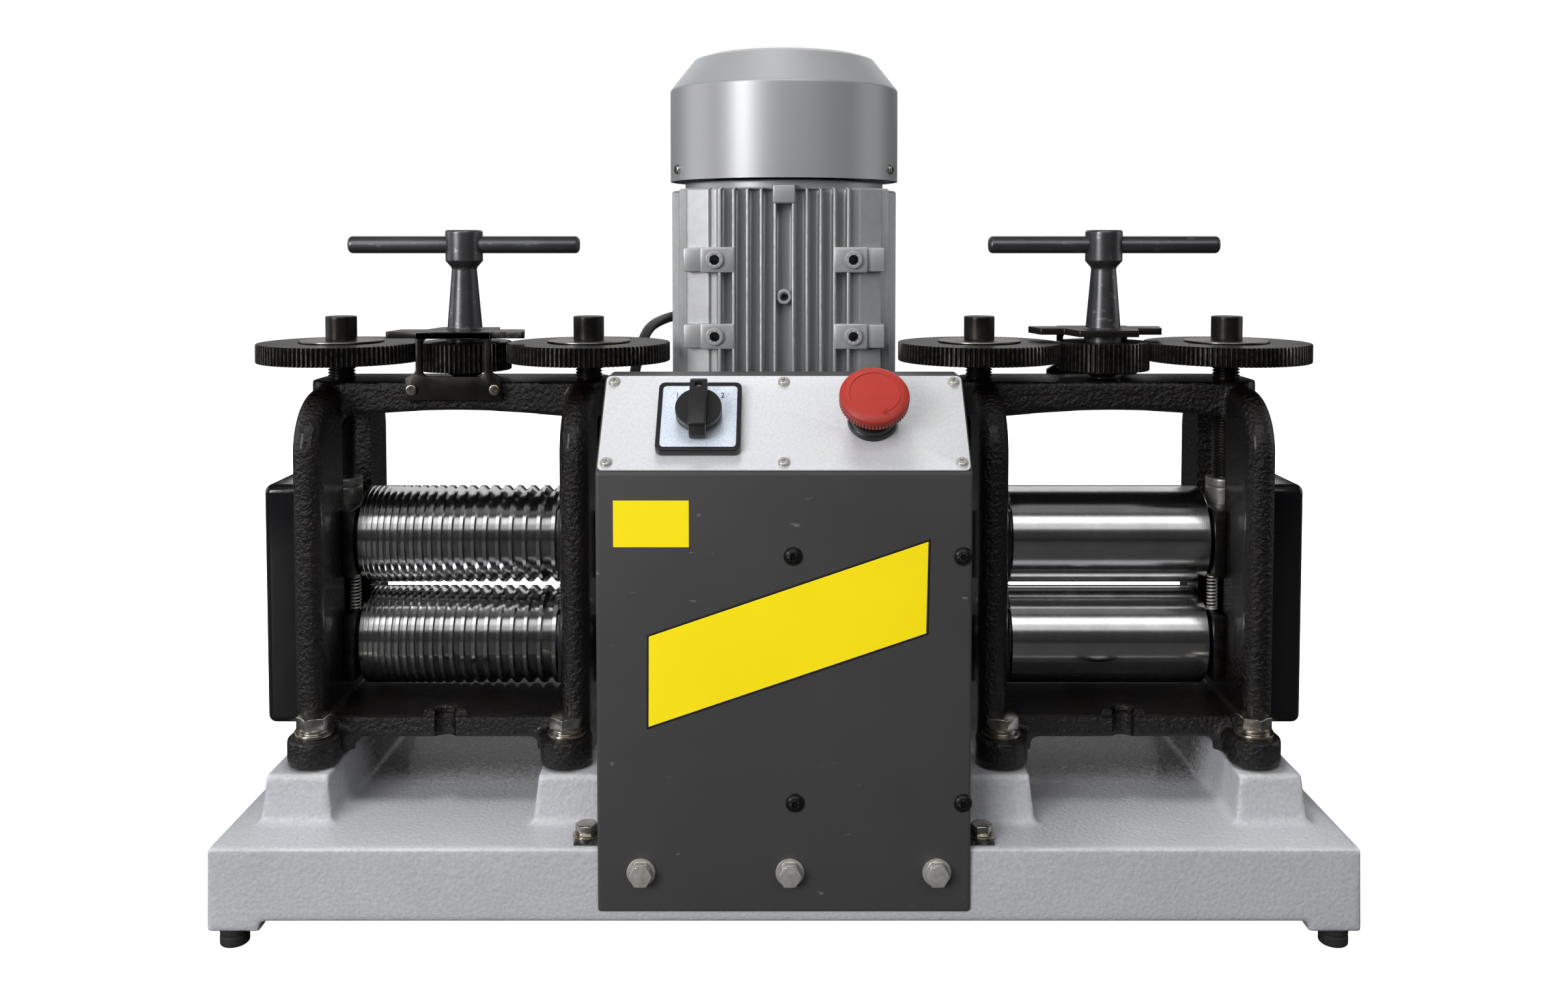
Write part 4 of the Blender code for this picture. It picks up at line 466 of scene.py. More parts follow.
def lathe(profile, steps=48, closed=False):
    """A turned solid from its half section, as (radius, height) points from axis to axis."""
    work = bmesh.new()
    line = [work.verts.new((point[0], 0, point[1])) for point in profile]
    pairs = list(zip(line, line[1:])) + ([(line[-1], line[0])] if closed else [])
    edges = [work.edges.new(pair) for pair in pairs]
    bmesh.ops.spin(work, geom=line + edges, axis=(0, 0, 1), angle=2 * math.pi, steps=steps)
    bmesh.ops.remove_doubles(work, verts=work.verts, dist=0.000002)
    return mesh_of(work)


EDGE_BAND = 0.0010


def eased(outline, radius, steps=3, closed=True):
    """The outline with its corners as arcs. A corner's third number is a radius of its own.
    A point a little beyond each end of an arc keeps what is rubbed bright close to the edge."""
    points = []
    for i, item in enumerate(outline):
        corner = Vector(item[:2])
        if not closed and i in (0, len(outline) - 1):
            points.append(tuple(corner))
            continue
        before = Vector(outline[i - 1][:2]) - corner
        after = Vector(outline[(i + 1) % len(outline)][:2]) - corner
        want = item[2] if len(item) > 2 else radius
        half = before.angle(after) / 2
        if want <= 0 or half > math.radians(88):
            points.append(tuple(corner))
            continue
        reach = min(want / math.tan(half), 0.49 * before.length, 0.49 * after.length)
        across = (before.normalized() + after.normalized()).normalized()
        centre = corner + across * reach / math.cos(half)
        start = corner + before.normalized() * reach - centre
        end = corner + after.normalized() * reach - centre
        swing = math.atan2(start.x * end.y - start.y * end.x, start.dot(end))
        arc = [tuple(centre + Matrix.Rotation(swing * k / steps, 2) @ start)
               for k in range(steps + 1)]
        for leg, spot in ((before, 0), (after, len(arc))):
            if reach + EDGE_BAND < 0.45 * leg.length:
                arc.insert(spot + (spot > 0 and len(arc) > steps + 1),
                           tuple(corner + leg.normalized() * (reach + EDGE_BAND)))
        points += arc
    return points


black_rubber, tree, shader = finish("black_rubber", (0.018, 0.018, 0.019), 0.7)
grained(shader, 900.0, 0.5, 0.0002, 0.6)
for place in ("front_left", "front_right", "rear_left", "rear_right"):
    low, high = corners(f"{place}_foot")
    radius, height = (high.x - low.x) / 2, high.z
    profile = [(0, height), (radius, height), (radius, height * 0.62),
               (radius - 0.0006, height * 0.55), (radius, height * 0.48), (radius, 0), (0, 0)]
    stud = lathe(eased(profile, 0.0012, 3, False))
    centre = ((low.x + high.x) / 2, (low.y + high.y) / 2, 0)
    fit(f"{place}_stud", moved(stud, centre), black_rubber, "base", "foot_rubber", f"{place}_foot")


# Head frames
# Each head is one iron casting: two uprights with a rounded rim, a floor plate between them and
# a bridge on top. It is sprayed gloss black over the raw sand skin, and bolted to two ribs.

QUARTER = math.pi / 2


def at(x, y, z):
    return Matrix.Translation((x, y, z))


def about(angle, axis):
    return Matrix.Rotation(angle, 4, axis)


heads = {"left": at(-head_x, head_y, 0),
         "right": at(head_x, head_y, 0) @ about(math.pi, "Z")}

WALL_T, WALL_HALF_Y, WALL_CORNER, WALL_RIM = 0.0190, 0.0755, 0.040, 0.0092
RIM_STEPS = 6
BRIDGE_T, BRIDGE_HALF_Y, BRIDGE_END, BRIDGE_CORNER = 0.0234, 0.030, 0.0165, 0.024
BRIDGE_ARCH, ARCH_STEPS = 0.0045, 10
WINDOW_HALF_Y, WINDOW_CORNER, WINDOW_FLOOR = 0.030, 0.006, 0.1289
LUG_X, LUG_Y, LUG_R, LUG_NECK, LUG_TOP = 0.0795, 0.076, 0.0165, 0.012, 0.1095
PLATE_LOW, PLATE_TOP, PLATE_HALF_Y = 0.103, 0.117, 0.065
NOTCH_R, NOTCH_OUT, BOSS_R, BOSS_RISE = 0.0070, 0.0008, 0.0130, 0.0045
WEB_FILLETS = ((0.0120, PLATE_LOW, 0.1085), (0.0060, 0.094, PLATE_LOW + 0.001))
HEAD_SKIN, SCREW_BORE_R = 0.0019, 0.0093
bridge_top, foot_z = frame_high.z, frame_low.z
bridge_low = bridge_top - BRIDGE_T
wall_top = bridge_top - 0.0024


def ring(radius, steps=48, centre=(0, 0)):
    return [(centre[0] + radius * math.cos(2 * math.pi * i / steps),
             centre[1] + radius * math.sin(2 * math.pi * i / steps)) for i in range(steps)]


def upright(x):
    """One side wall, arched at the top, with its whole rim rounded to a bead."""
    rings = []
    for side in (-1, 1):
        for k in range(RIM_STEPS + 1):
            turn = QUARTER * (k if side < 0 else RIM_STEPS - k) / RIM_STEPS
            inset = WALL_RIM * (1 - math.sin(turn))
            along = x + side * (WALL_T / 2 - WALL_RIM * (1 - math.cos(turn)))
            half, top, corner = WALL_HALF_Y - inset, wall_top - inset, WALL_CORNER - inset
            outline = eased([(-half, foot_z, 0), (half, foot_z, 0), (half, top, corner),
                             (-half, top, corner)], 0, 12)
            rings.append([(along, y, z) for y, z in outline])
    return loft(rings)


def merged(*meshes):
    work = bmesh.new()
    for mesh in meshes:
        work.from_mesh(mesh)
    made = bpy.data.meshes.new("shape")
    work.to_mesh(made)
    work.free()
    return made


def plate(outline, low, high, plane="xy"):
    """A slab with a flat outline in the given plane, thick from low to high across it."""
    order = {"xy": (0, 1, 2), "xz": (0, 2, 1), "yz": (2, 0, 1)}[plane]
    rings = []
    for level in (low, high):
        rings.append([tuple((point[0], point[1], level)[k] for k in order) for point in outline])
    return loft(rings)


def head_casting():
    solids = [upright(x) for x in (-screw_x, screw_x)]
    half = screw_x + BRIDGE_END
    arch_half = screw_x - WALL_T / 2
    arch = [(arch_half * (2 * i / ARCH_STEPS - 1),
             bridge_low + BRIDGE_ARCH * math.sin(math.pi * i / ARCH_STEPS))
            for i in range(ARCH_STEPS + 1)]
    side = [(-half, bridge_top), (-half, bridge_low), *arch, (half, bridge_low), (half, bridge_top)]
    plan = eased([(-half, -BRIDGE_HALF_Y), (half, -BRIDGE_HALF_Y), (half, BRIDGE_HALF_Y),
                  (-half, BRIDGE_HALF_Y)], BRIDGE_CORNER, 8)
    slab = plate(side, -BRIDGE_HALF_Y, BRIDGE_HALF_Y, "xz")
    solids.append(combined(slab, plate(plan, bridge_low - OVER, bridge_top + OVER), "INTERSECT"))
    solids.append(block((-screw_x, -PLATE_HALF_Y, PLATE_LOW), (screw_x, PLATE_HALF_Y, PLATE_TOP)))
    for side_y in (-1, 1):
        for x in (-LUG_X, LUG_X):
            solids.append(plate(ring(LUG_R, 32, (x, side_y * LUG_Y)), foot_z, LUG_TOP))
            low_y, high_y = sorted((side_y * LUG_Y, side_y * (PLATE_HALF_Y - LUG_NECK)))
            solids.append(block((x - LUG_NECK, low_y, PLATE_LOW - 0.004),
                                (x + LUG_NECK, high_y, LUG_TOP - 0.0005)))
            inner_x, edge_y = abs(x) - LUG_R * 0.93, PLATE_HALF_Y - 0.001
            for radius, low_z, high_z in WEB_FILLETS:
                arc = [(inner_x - radius * (1 - math.sin(a)), edge_y + radius * (1 - math.cos(a)))
                       for a in (QUARTER * k / 8 for k in range(9))]
                web = [(inner_x - radius, edge_y - 0.004), *arc, (abs(x), edge_y + radius),
                       (abs(x), edge_y - 0.004)]
                web = [(math.copysign(across, x), side_y * along) for across, along in web]
                solids.append(plate(web, low_z, high_z))
    body = cast(welded(*solids), HEAD_SKIN, 5)
    window = eased([(-WINDOW_HALF_Y, WINDOW_FLOOR), (WINDOW_HALF_Y, WINDOW_FLOOR),
                    (WINDOW_HALF_Y, bridge_low, WINDOW_CORNER),
                    (-WINDOW_HALF_Y, bridge_low, WINDOW_CORNER)], 0, 4)
    cutters = [plate(window, x - WALL_T, x + WALL_T, "yz") for x in (-screw_x, screw_x)]
    cutters += [plate(ring(SCREW_BORE_R, 32, (x, 0)), bridge_low - OVER, bridge_top + OVER)
                for x in (-screw_x, screw_x)]
    cutters += [plate(ring(NOTCH_R, 32, (0, side_y * (PLATE_HALF_Y + NOTCH_OUT))),
                      PLATE_LOW - OVER, PLATE_TOP + OVER) for side_y in (-1, 1)]
    body = cut(body, *cutters, solver="MANIFOLD")
    rim_top = PLATE_TOP + BOSS_RISE
    rim = lathe(eased([(NOTCH_R, rim_top), (BOSS_R, rim_top), (BOSS_R + 0.002, PLATE_TOP - 0.002),
                       (NOTCH_R, PLATE_TOP - 0.002)], 0.0018, 4), 48, True)
    half_rim = combined(rim, block((-BOSS_R * 2, 0, PLATE_LOW),
                                   (BOSS_R * 2, BOSS_R * 2, rim_top + OVER)), "INTERSECT")
    rims = [moved(half_rim, about(turn, "Z"), (0, side_y * (PLATE_HALF_Y - 0.001), 0))
            for side_y, turn in ((-1, 0), (1, math.pi))]
    return merged(body, *rims)


gloss_black, tree, shader = finish("black_paint_on_sand_casting", (0.003, 0.0027, 0.0026), 0.2,
                                   0.0, 0.22)
shader.inputs["Coat Roughness"].default_value = 0.12


def clouded(shader, *tones):
    """A base colour that drifts between two tones; gives back the clouds."""
    clouds = drifting(shader.id_data, *tones)
    feed(clouds["Color"], shader, "Base Color")
    return clouds


dusty = clouded(shader, (0.0014, 0.0013, 0.0013), (0.0055, 0.0036, 0.0028), 38.0, 0.2)
polished(shader, dusty["Mask"], 0.14, 0.28)
grained(shader, 420.0, 0.25, 0.0018, 0.9)
head_mesh = head_casting()
for side, place in heads.items():
    fit(f"{side}_head_casting", head_mesh, gloss_black, "base", "frame_black", f"{side}_frame",
        place=place, angle=40)


# Head bolts
# M12 hexagon screws with flat washers hold each foot down on its rib. They are zinc plated,
# with a warm cast from the passivation.

HEX_ACROSS, HEX_HEIGHT = 0.019, 0.0080
WASHER_R, WASHER_T, LOCK_R, LOCK_T = 0.012, 0.0022, 0.0098, 0.0026


def bevelled(mesh, width, segments=2, angle=35):
    return with_modifier(mesh, "BEVEL", width=width, segments=segments, limit_method="ANGLE",
                         angle_limit=math.radians(angle), use_clamp_overlap=True)


def hexagon_head(across, height):
    """A hexagon head standing on z = 0, its top corners turned off."""
    corner_r = across / math.sqrt(3)
    hexagon = plate(ring(corner_r, 6), 0, height)
    slope = (corner_r - across / 2) * 0.75
    turned = lathe([(0, height), (across / 2 - 0.0006, height), (corner_r + 0.001, height - slope),
                    (corner_r + 0.001, -0.001), (0, -0.001)], 48)
    return bevelled(combined(hexagon, turned, "INTERSECT"), 0.0002, 1, 50)


def washer(radius, height):
    return lathe(eased([(0, height), (radius, height), (radius, 0), (0, 0)], 0.0004, 2, False), 48)


zinc, tree, shader = finish("zinc_plate", (0.66, 0.64, 0.58), 0.24, 1.0)
clouded(shader, (0.40, 0.34, 0.25), (0.70, 0.69, 0.66), 90.0, 0.2)
grained(shader, 700.0, 0.5, 0.0002, 0.4)
foot_bolt = merged(washer(WASHER_R, WASHER_T),
                   moved(washer(LOCK_R, LOCK_T), (0, 0, WASHER_T)),
                   moved(hexagon_head(HEX_ACROSS, HEX_HEIGHT), (0, 0, WASHER_T + LOCK_T)))


def repeated(mesh, places):
    return merged(*[moved(mesh, place) for place in places])


for side, place in heads.items():
    turns = [at(x, y, LUG_TOP - 0.0001) @ about(x * 40 + y * 9, "Z")
             for x in (-LUG_X, LUG_X) for y in (-LUG_Y, LUG_Y)]
    fit(f"{side}_foot_bolts", repeated(foot_bolt, turns), zinc, "base", "spring_steel",
        place=place)


# Bearing blocks
# Steel blocks that fill the windows: the lower pair is fixed, and the upper pair slides up and
# down under the screws, whose tips turn in the round caps on top.

BLOCK_HALF_Z = 0.0222
BLOCK_SIDE, BLOCK_CORE = 0.0345, WALL_T / 2 + 0.0003
BLOCK_SLIDE = WINDOW_HALF_Y - 0.0003
BLOCK_IN, BLOCK_OUT = BLOCK_CORE + 0.007, BLOCK_CORE + 0.003
NECK_R = 0.0150
CAP_R, CAP_FLAT, CAP_TOP = 0.0127, 0.0094, 0.0389
lower_z = middle("drive_shaft", 2)
upper_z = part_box("left_upper_outer_bearing")[0][2] + BLOCK_HALF_Z
SPRING_X, SPRING_Y = 0.0700, 0.0210
SPIGOT_R, SPIGOT_H, SEAT_PAD_R, SEAT_T = 0.0021, 0.0032, 0.0042, 0.0004
ENDS = (("outer", -1, 0), ("inner", 1, math.pi))


def bearing_block(upper):
    half = [(-BLOCK_OUT, BLOCK_SIDE), (-BLOCK_CORE, BLOCK_SIDE), (-BLOCK_CORE, BLOCK_SLIDE),
            (BLOCK_CORE, BLOCK_SLIDE), (BLOCK_CORE, BLOCK_SIDE), (BLOCK_IN, BLOCK_SIDE)]
    outline = half + [(x, -y) for x, y in reversed(half)]
    body = bevelled(plate(outline, -BLOCK_HALF_Z, BLOCK_HALF_Z), 0.0006, 2)
    bore = plate(ring(NECK_R + 0.0003, 64), -BLOCK_IN - OVER, BLOCK_IN + OVER, "yz")
    profile = [(0, SPIGOT_H), (SPIGOT_R, SPIGOT_H), (SPIGOT_R, SEAT_T), (SEAT_PAD_R, SEAT_T),
               (SEAT_PAD_R, -0.0002), (0, -0.0002)]
    spigot = lathe(eased(profile, 0.0004, 2, False), 24)
    toward = -1 if upper else 1
    flip = about(math.pi if upper else 0, "X")
    spigots = [moved(spigot, flip, (screw_x - SPRING_X, y, toward * BLOCK_HALF_Z))
               for y in (-SPRING_Y, SPRING_Y)]
    return merged(cut(body, bore), *spigots)


def drawn_lines():
    """Fine parallel lines or scratches: a noise stretched along one direction."""
    tree, given, out = effect("drawn_lines", [("Stretch", "Vector", (1, 1, 1)),
                                              ("Scale", "Float", 500.0), ("Start", "Float", 0.6),
                                              ("End", "Float", 0.7)],
                              [("Value", "Float"), ("Mask", "Float")])
    place = shader_node(tree, "TexCoord").outputs["Object"]
    drawn = shader_node(tree, "VectorMath", {0: place, 1: given["Stretch"]}, operation="MULTIPLY")
    noise = shader_node(tree, "TexNoise", {"Vector": drawn.outputs[0], "Scale": given["Scale"],
                                           "Detail": 3.0, "Roughness": 0.55})
    mask = shader_node(tree, "MapRange", {"Value": noise.outputs["Fac"], "From Min": given["Start"],
                                          "From Max": given["End"]})
    tree.links.new(noise.outputs["Fac"], out["Value"])
    tree.links.new(mask.outputs[0], out["Mask"])
    return tree


LINES = drawn_lines()
oiled_steel, tree, shader = finish("oiled_milled_steel", (0.13, 0.125, 0.12), 0.34, 1.0)
clouded(shader, (0.035, 0.032, 0.03), (0.11, 0.105, 0.10), 70.0, 0.22)
milled = use(tree, LINES, Stretch=(1.0, 0.06, 1.0), Scale=900.0, Start=0.45, End=0.7)
polished(shader, milled["Value"], 0.24, 0.44)
bump(shader, milled["Value"], 0.0001, 0.3)
satin_steel, tree, shader = finish("satin_turned_steel", (0.34, 0.33, 0.32), 0.36, 0.8)
clouded(shader, (0.20, 0.19, 0.18), (0.46, 0.45, 0.44), 80.0, 0.25)
cap_profile = [(0, CAP_TOP), (CAP_R, CAP_TOP), (CAP_R, CAP_TOP - 0.0052),
               (CAP_R - 0.0006, CAP_TOP - 0.0058), (CAP_R, CAP_TOP - 0.0064),
               (CAP_R, BLOCK_HALF_Z - 0.002), (0, BLOCK_HALF_Z - 0.002)]
cap = combined(lathe(eased(cap_profile, 0.0007, 2, False), 48),
               block((-CAP_FLAT, -OVER * 2, 0), (OVER * 2, OVER * 2, CAP_TOP + OVER)),
               "INTERSECT")
blocks = {"lower": (bearing_block(False), lower_z), "upper": (bearing_block(True), upper_z)}
for side, place in heads.items():
    for level, (mesh, z) in blocks.items():
        for end, sign, turn in ENDS:
            body = "base" if level == "lower" else f"{side}_carriage"
            spot = place @ at(sign * screw_x, 0, z) @ about(turn, "Z")
            fit(f"{side}_{level}_{end}_block", mesh, oiled_steel, body, "bearing_steel",
                f"{side}_{level}_{end}_bearing", place=spot)
            if level == "upper":
                fit(f"{side}_{end}_thrust_cap", cap, satin_steel, body, "bearing_steel", place=spot)


# Lift springs
# Eight compression springs of bright wire stand between the lower and upper blocks, and lift
# the upper roll as the screws go up.

SPRING_R, SPRING_WIRE, SPRING_TURNS = 0.0032, 0.0012, 9
DEAD_TURNS, TURN_POINTS = 1, 16
spring_low = lower_z + BLOCK_HALF_Z + 0.0003
spring_high = upper_z - BLOCK_HALF_Z - 0.0003


def tube(points, diameter, roundness=3):
    """A wire of the given diameter along points, closed at both ends."""
    path = bpy.data.curves.new("path", "CURVE")
    path.dimensions = "3D"
    path.bevel_depth = diameter / 2
    path.bevel_resolution = roundness
    path.use_fill_caps = True
    line = path.splines.new("POLY")
    line.points.add(len(points) - 1)
    for point, place in zip(line.points, points):
        point.co = (*place, 1)
    return with_modifier(path, None)


def polar(radius, angle, z):
    return radius * math.cos(angle), radius * math.sin(angle), z


def coil_points(low, high):
    """Centre line of a compression spring: a closed turn at each end and open turns between."""
    low, high = low + SPRING_WIRE / 2, high - SPRING_WIRE / 2
    points = []
    count = (SPRING_TURNS + 2 * DEAD_TURNS) * TURN_POINTS
    rest = high - low - 2 * DEAD_TURNS * SPRING_WIRE
    for i in range(count + 1):
        turn = i / TURN_POINTS
        rise = min(turn, DEAD_TURNS) * SPRING_WIRE
        rise += max(0.0, min(turn - DEAD_TURNS, SPRING_TURNS)) * rest / SPRING_TURNS
        rise += max(0.0, turn - DEAD_TURNS - SPRING_TURNS) * SPRING_WIRE
        points.append(polar(SPRING_R, 2 * math.pi * turn, low + rise))
    return points


bright_wire, tree, shader = finish("bright_spring_wire", (0.55, 0.53, 0.50), 0.3, 0.75)
clouded(shader, (0.46, 0.44, 0.41), (0.80, 0.78, 0.76), 300.0, 0.2)
coil = tube(coil_points(spring_low, spring_high), SPRING_WIRE, 2)
for side, place in heads.items():
    for end, sign, _ in ENDS:
        for row, y in (("front", -SPRING_Y), ("rear", SPRING_Y)):
            shift = Vector((sign * SPRING_X, y if side == "left" else -y, 0))
            piece = piece_of(f"{side}_{end}_{row}_spring", moved(coil, place @ at(*shift)),
                          bright_wire, 60)
            spot = place @ shift
            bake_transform(piece)
            if row == "front":
                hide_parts(f"{side}_{end}_spring")


# Rolls
# Hardened and ground steel. The left pair has twenty V grooves for wire, which widen towards
# the motor, and the right pair is plain for sheet. The lower rolls are driven by the gearbox.

ROLL_R, ROLL_EDGE = 0.0325, 0.0010
COLLAR_R, COLLAR_T, SEAT_R = 0.025, 0.0009, 0.013
GROOVES, GROOVE_FIRST, GROOVE_LAST, END_LAND = 20, 0.0008, 0.0075, 0.0034
FIT = 0.0003
GEAR_WIDTH = 0.018
ROLL_STEPS = 96
shaft_end_x = middle("right_coupling", 0)
collar_x = screw_x - BLOCK_IN - FIT
roll_half = collar_x - COLLAR_T


def groove_points():
    """V grooves from the outer end to the inner end, all with 90 degree sides."""
    widths = [GROOVE_FIRST + (GROOVE_LAST - GROOVE_FIRST) * i / (GROOVES - 1)
              for i in range(GROOVES)]
    land = (2 * roll_half - 2 * END_LAND - sum(widths)) / (GROOVES - 1)
    points = []
    place = roll_half - END_LAND
    for width in widths:
        points += [(ROLL_R, place), (ROLL_R - width / 2, place - width / 2),
                   (ROLL_R, place - width)]
        place -= width + land
    return points


def roll(grooved, lower):
    neck_out = screw_x + BLOCK_OUT + FIT
    seat_out = neck_out + GEAR_WIDTH + 0.0024
    neck_in = head_x - shaft_end_x - FIT / 2 if lower else screw_x + BLOCK_OUT + 0.0012
    face = groove_points() if grooved else []
    profile = [(0, seat_out), (SEAT_R, seat_out), (SEAT_R, neck_out), (NECK_R, neck_out),
               (NECK_R, collar_x), (COLLAR_R, collar_x), (COLLAR_R, roll_half),
               (ROLL_R - ROLL_EDGE, roll_half), (ROLL_R, roll_half - ROLL_EDGE), *face,
               (ROLL_R, ROLL_EDGE - roll_half), (ROLL_R - ROLL_EDGE, -roll_half),
               (COLLAR_R, -roll_half), (COLLAR_R, -collar_x), (NECK_R, -collar_x)]
    if lower:
        profile += [(NECK_R, -neck_out), (0.014, -neck_out), (0.014, -neck_in), (0, -neck_in)]
    else:
        profile += [(NECK_R, -neck_in), (0, -neck_in)]
    return moved(lathe(profile, ROLL_STEPS), about(-QUARTER, "Y"))


ground_steel, tree, shader = finish("ground_roll_steel", (0.66, 0.66, 0.66), 0.13, 1.0)
clouded(shader, (0.52, 0.52, 0.52), (0.74, 0.74, 0.74), 45.0, 0.3)
ground = use(tree, LINES, Stretch=(1.0, 0.015, 0.015), Scale=2400.0, Start=0.4, End=0.7)
polished(shader, ground["Value"], 0.08, 0.24)
bump(shader, ground["Value"], 0.00004, 0.35)
for side, place in heads.items():
    grooved = side == "left"
    fit(f"{side}_lower_working_roll", roll(grooved, True), ground_steel, "drive_train",
        "roll_steel", f"{side}_lower_roll", place=place @ at(0, 0, lower_z), angle=25)
    fit(f"{side}_upper_working_roll", roll(grooved, False), ground_steel,
        f"{side}_upper_roll_set", "roll_steel", f"{side}_upper_roll",
        place=place @ at(0, 0, upper_z), angle=25)


# Roll gears
# Coarse spur gears at the outer ends, which turn the upper roll with the lower one over the
# whole lift. They run in grease under the covers.

def dress(node, finish):
    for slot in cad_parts[node].material_slots:
        slot.material = finish


greased_steel, tree, shader = finish("greased_gear_steel", (0.20, 0.19, 0.18), 0.3, 1.0)
clouded(shader, (0.10, 0.085, 0.06), (0.30, 0.29, 0.28), 110.0, 0.2)
for side in heads:
    dress(f"{side}_lower_roll_gear", greased_steel)
    dress(f"{side}_upper_roll_gear", greased_steel)


# Gear covers
# Boxes pressed from steel sheet, gloss black, held to the outer uprights by two button head
# screws through the outer face.

COVER_T, COVER_EDGE = 0.0020, 0.0055
COVER_SCREW_Z = (0.2035, 0.1286)
SIDES = (("left", -1), ("right", 1))


def gear_cover(side):
    low, high = corners(f"{side}_gear_cover")
    open_high = side == "left"
    grow = Vector((OVER, 0, 0))
    outer = bevelled(block(low, high + grow) if open_high else block(low - grow, high),
                     COVER_EDGE, 6)
    wall = Vector((COVER_T, COVER_T, COVER_T))
    inner_low, inner_high = low + wall, high - wall
    if open_high:
        inner_high.x = high.x + 2 * OVER
        trim = block((high.x, low.y - OVER, low.z - OVER),
                     (high.x + 3 * OVER, high.y + OVER, high.z + OVER))
    else:
        inner_low.x = low.x - 2 * OVER
        trim = block((low.x - 3 * OVER, low.y - OVER, low.z - OVER),
                     (low.x, high.y + OVER, high.z + OVER))
    inner = bevelled(block(inner_low, inner_high), COVER_EDGE - COVER_T, 4)
    return cut(outer, inner, trim)


def button_head(radius, height, socket=0.4):
    """A domed screw head on z = 0 with a hexagon socket."""
    dome = [(0, height)] + [(radius * math.sin(a), height * math.cos(a) ** 0.8)
                            for a in (math.radians(15 * i) for i in range(1, 6))]
    dome += [(radius, height * 0.2), (radius, -0.0002), (0, -0.0002)]
    body = lathe(dome, 32)
    return cut(body, plate(ring(radius * socket, 6), height * 0.35, height + 0.001))


cover_gloss, tree, shader = finish("gloss_black_sheet", (0.005, 0.005, 0.006), 0.16, 0.0, 0.3)
shader.inputs["Coat Roughness"].default_value = 0.06
worn = use(tree, WEAR, Start=0.56, End=0.68, Scale=180.0)


def covered(shader, mask, under, over):
    feed(mixed(shader.id_data, mask, under, over), shader, "Base Color")


covered(shader, between(tree, worn["Mask"], 0, 0.5), (0.005, 0.005, 0.006, 1),
        (0.12, 0.12, 0.12, 1))
grained(shader, 130.0, 0.15, 0.0005, 0.35)
black_screw, tree, shader = finish("black_oxide_screws", (0.02, 0.02, 0.021), 0.3, 0.7)
rub = use(tree, WEAR, Start=0.53, End=0.6, Scale=400.0)
covered(shader, rub["Mask"], (0.02, 0.02, 0.021, 1), (0.2, 0.2, 0.2, 1))
cover_screw = button_head(0.0048, 0.0022)
for side, outward in SIDES:
    fit(f"{side}_cover_box", gear_cover(side), cover_gloss, "base", "cover_black",
        f"{side}_gear_cover")
    low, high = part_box(f"{side}_gear_cover")
    x = low[0] if outward < 0 else high[0]
    spots = [at(x, head_y, z) @ about(outward * QUARTER, "Y") for z in COVER_SCREW_Z]
    fit(f"{side}_cover_screws", repeated(cover_screw, spots), black_screw, "base", "cover_black")


# Screw-down screws
# Left-hand trapezoidal screws, turned and black oxided. Each carries a spur gear, held by a
# thin steel disc and a round post on top.

SCREW_R, THREAD_PITCH, THREAD_DEPTH = 0.0090, 0.0020, 0.0011
THREAD_SIDES, THREAD_ROWS = 36, 8
POST_R, DISC_R, DISC_H = 0.01025, 0.0280, 0.0012
tip_z, post_top = (corner[2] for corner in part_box("left_outer_screw"))
gear_low, gear_top = (corner[2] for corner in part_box("left_outer_spindle_gear"))
disc_z = gear_top + FIT


def threaded_rod(low, high):
    """A rod with a left-hand trapezoidal thread, as rows of points round it."""
    count = round((high - low) / THREAD_PITCH * THREAD_ROWS)
    rings = []
    for row in range(count + 1):
        z = low + (high - low) * row / count
        fade = min(1.0, (z - low) / THREAD_PITCH)
        points = []
        for i in range(THREAD_SIDES):
            phase = (z / THREAD_PITCH + i / THREAD_SIDES) % 1
            flank = min(1.0, max(0.0, 2.2 * abs(2 * phase - 1) - 0.6))
            radius = SCREW_R - THREAD_DEPTH * (1 - flank) * fade - 0.0008 * (1 - fade)
            points.append(polar(radius, 2 * math.pi * i / THREAD_SIDES, z))
        rings.append(points)
    return loft(rings)


oxide, tree, shader = finish("black_oxide_turned_steel", (0.022, 0.021, 0.021), 0.32, 0.85)
smoky = drifting(tree, (0.018, 0.017, 0.016), (0.060, 0.054, 0.049), 40.0, 0.28)
bright = use(tree, WEAR, Start=0.56, End=0.68, Scale=260.0)
covered(shader, bright["Mask"], smoky["Color"], (0.28, 0.27, 0.26, 1))
polished(shader, smoky["Mask"], 0.22, 0.42)
grained(shader, 600.0, 0.3, 0.00006, 0.3)
disc_steel, tree, shader = finish("stained_disc_steel", (0.42, 0.39, 0.35), 0.3, 1.0)
stained = clouded(shader, (0.20, 0.15, 0.11), (0.52, 0.51, 0.49), 42.0, 0.18)
polished(shader, stained["Mask"], 0.42, 0.24)
post = lathe(eased([(0, post_top), (POST_R, post_top), (POST_R, disc_z + DISC_H - 0.0001),
                    (0, disc_z + DISC_H - 0.0001)], 0.0007, 2, False))
spindle = merged(threaded_rod(tip_z, gear_low), post)
disc = lathe(eased([(0, disc_z + DISC_H), (DISC_R, disc_z + DISC_H), (DISC_R, disc_z),
                    (0, disc_z)], 0.0004, 2, False), 64)
for side, place in heads.items():
    for end, sign, _ in ENDS:
        spot = place @ at(sign * screw_x, 0, 0)
        body = f"{side}_{end}_spindle"
        fit(f"{side}_{end}_threaded_spindle", spindle, oxide, body, "black_oxide",
            f"{side}_{end}_screw", place=spot)
        fit(f"{side}_{end}_clamp_disc", disc, disc_steel, body, "gear_steel", place=spot)


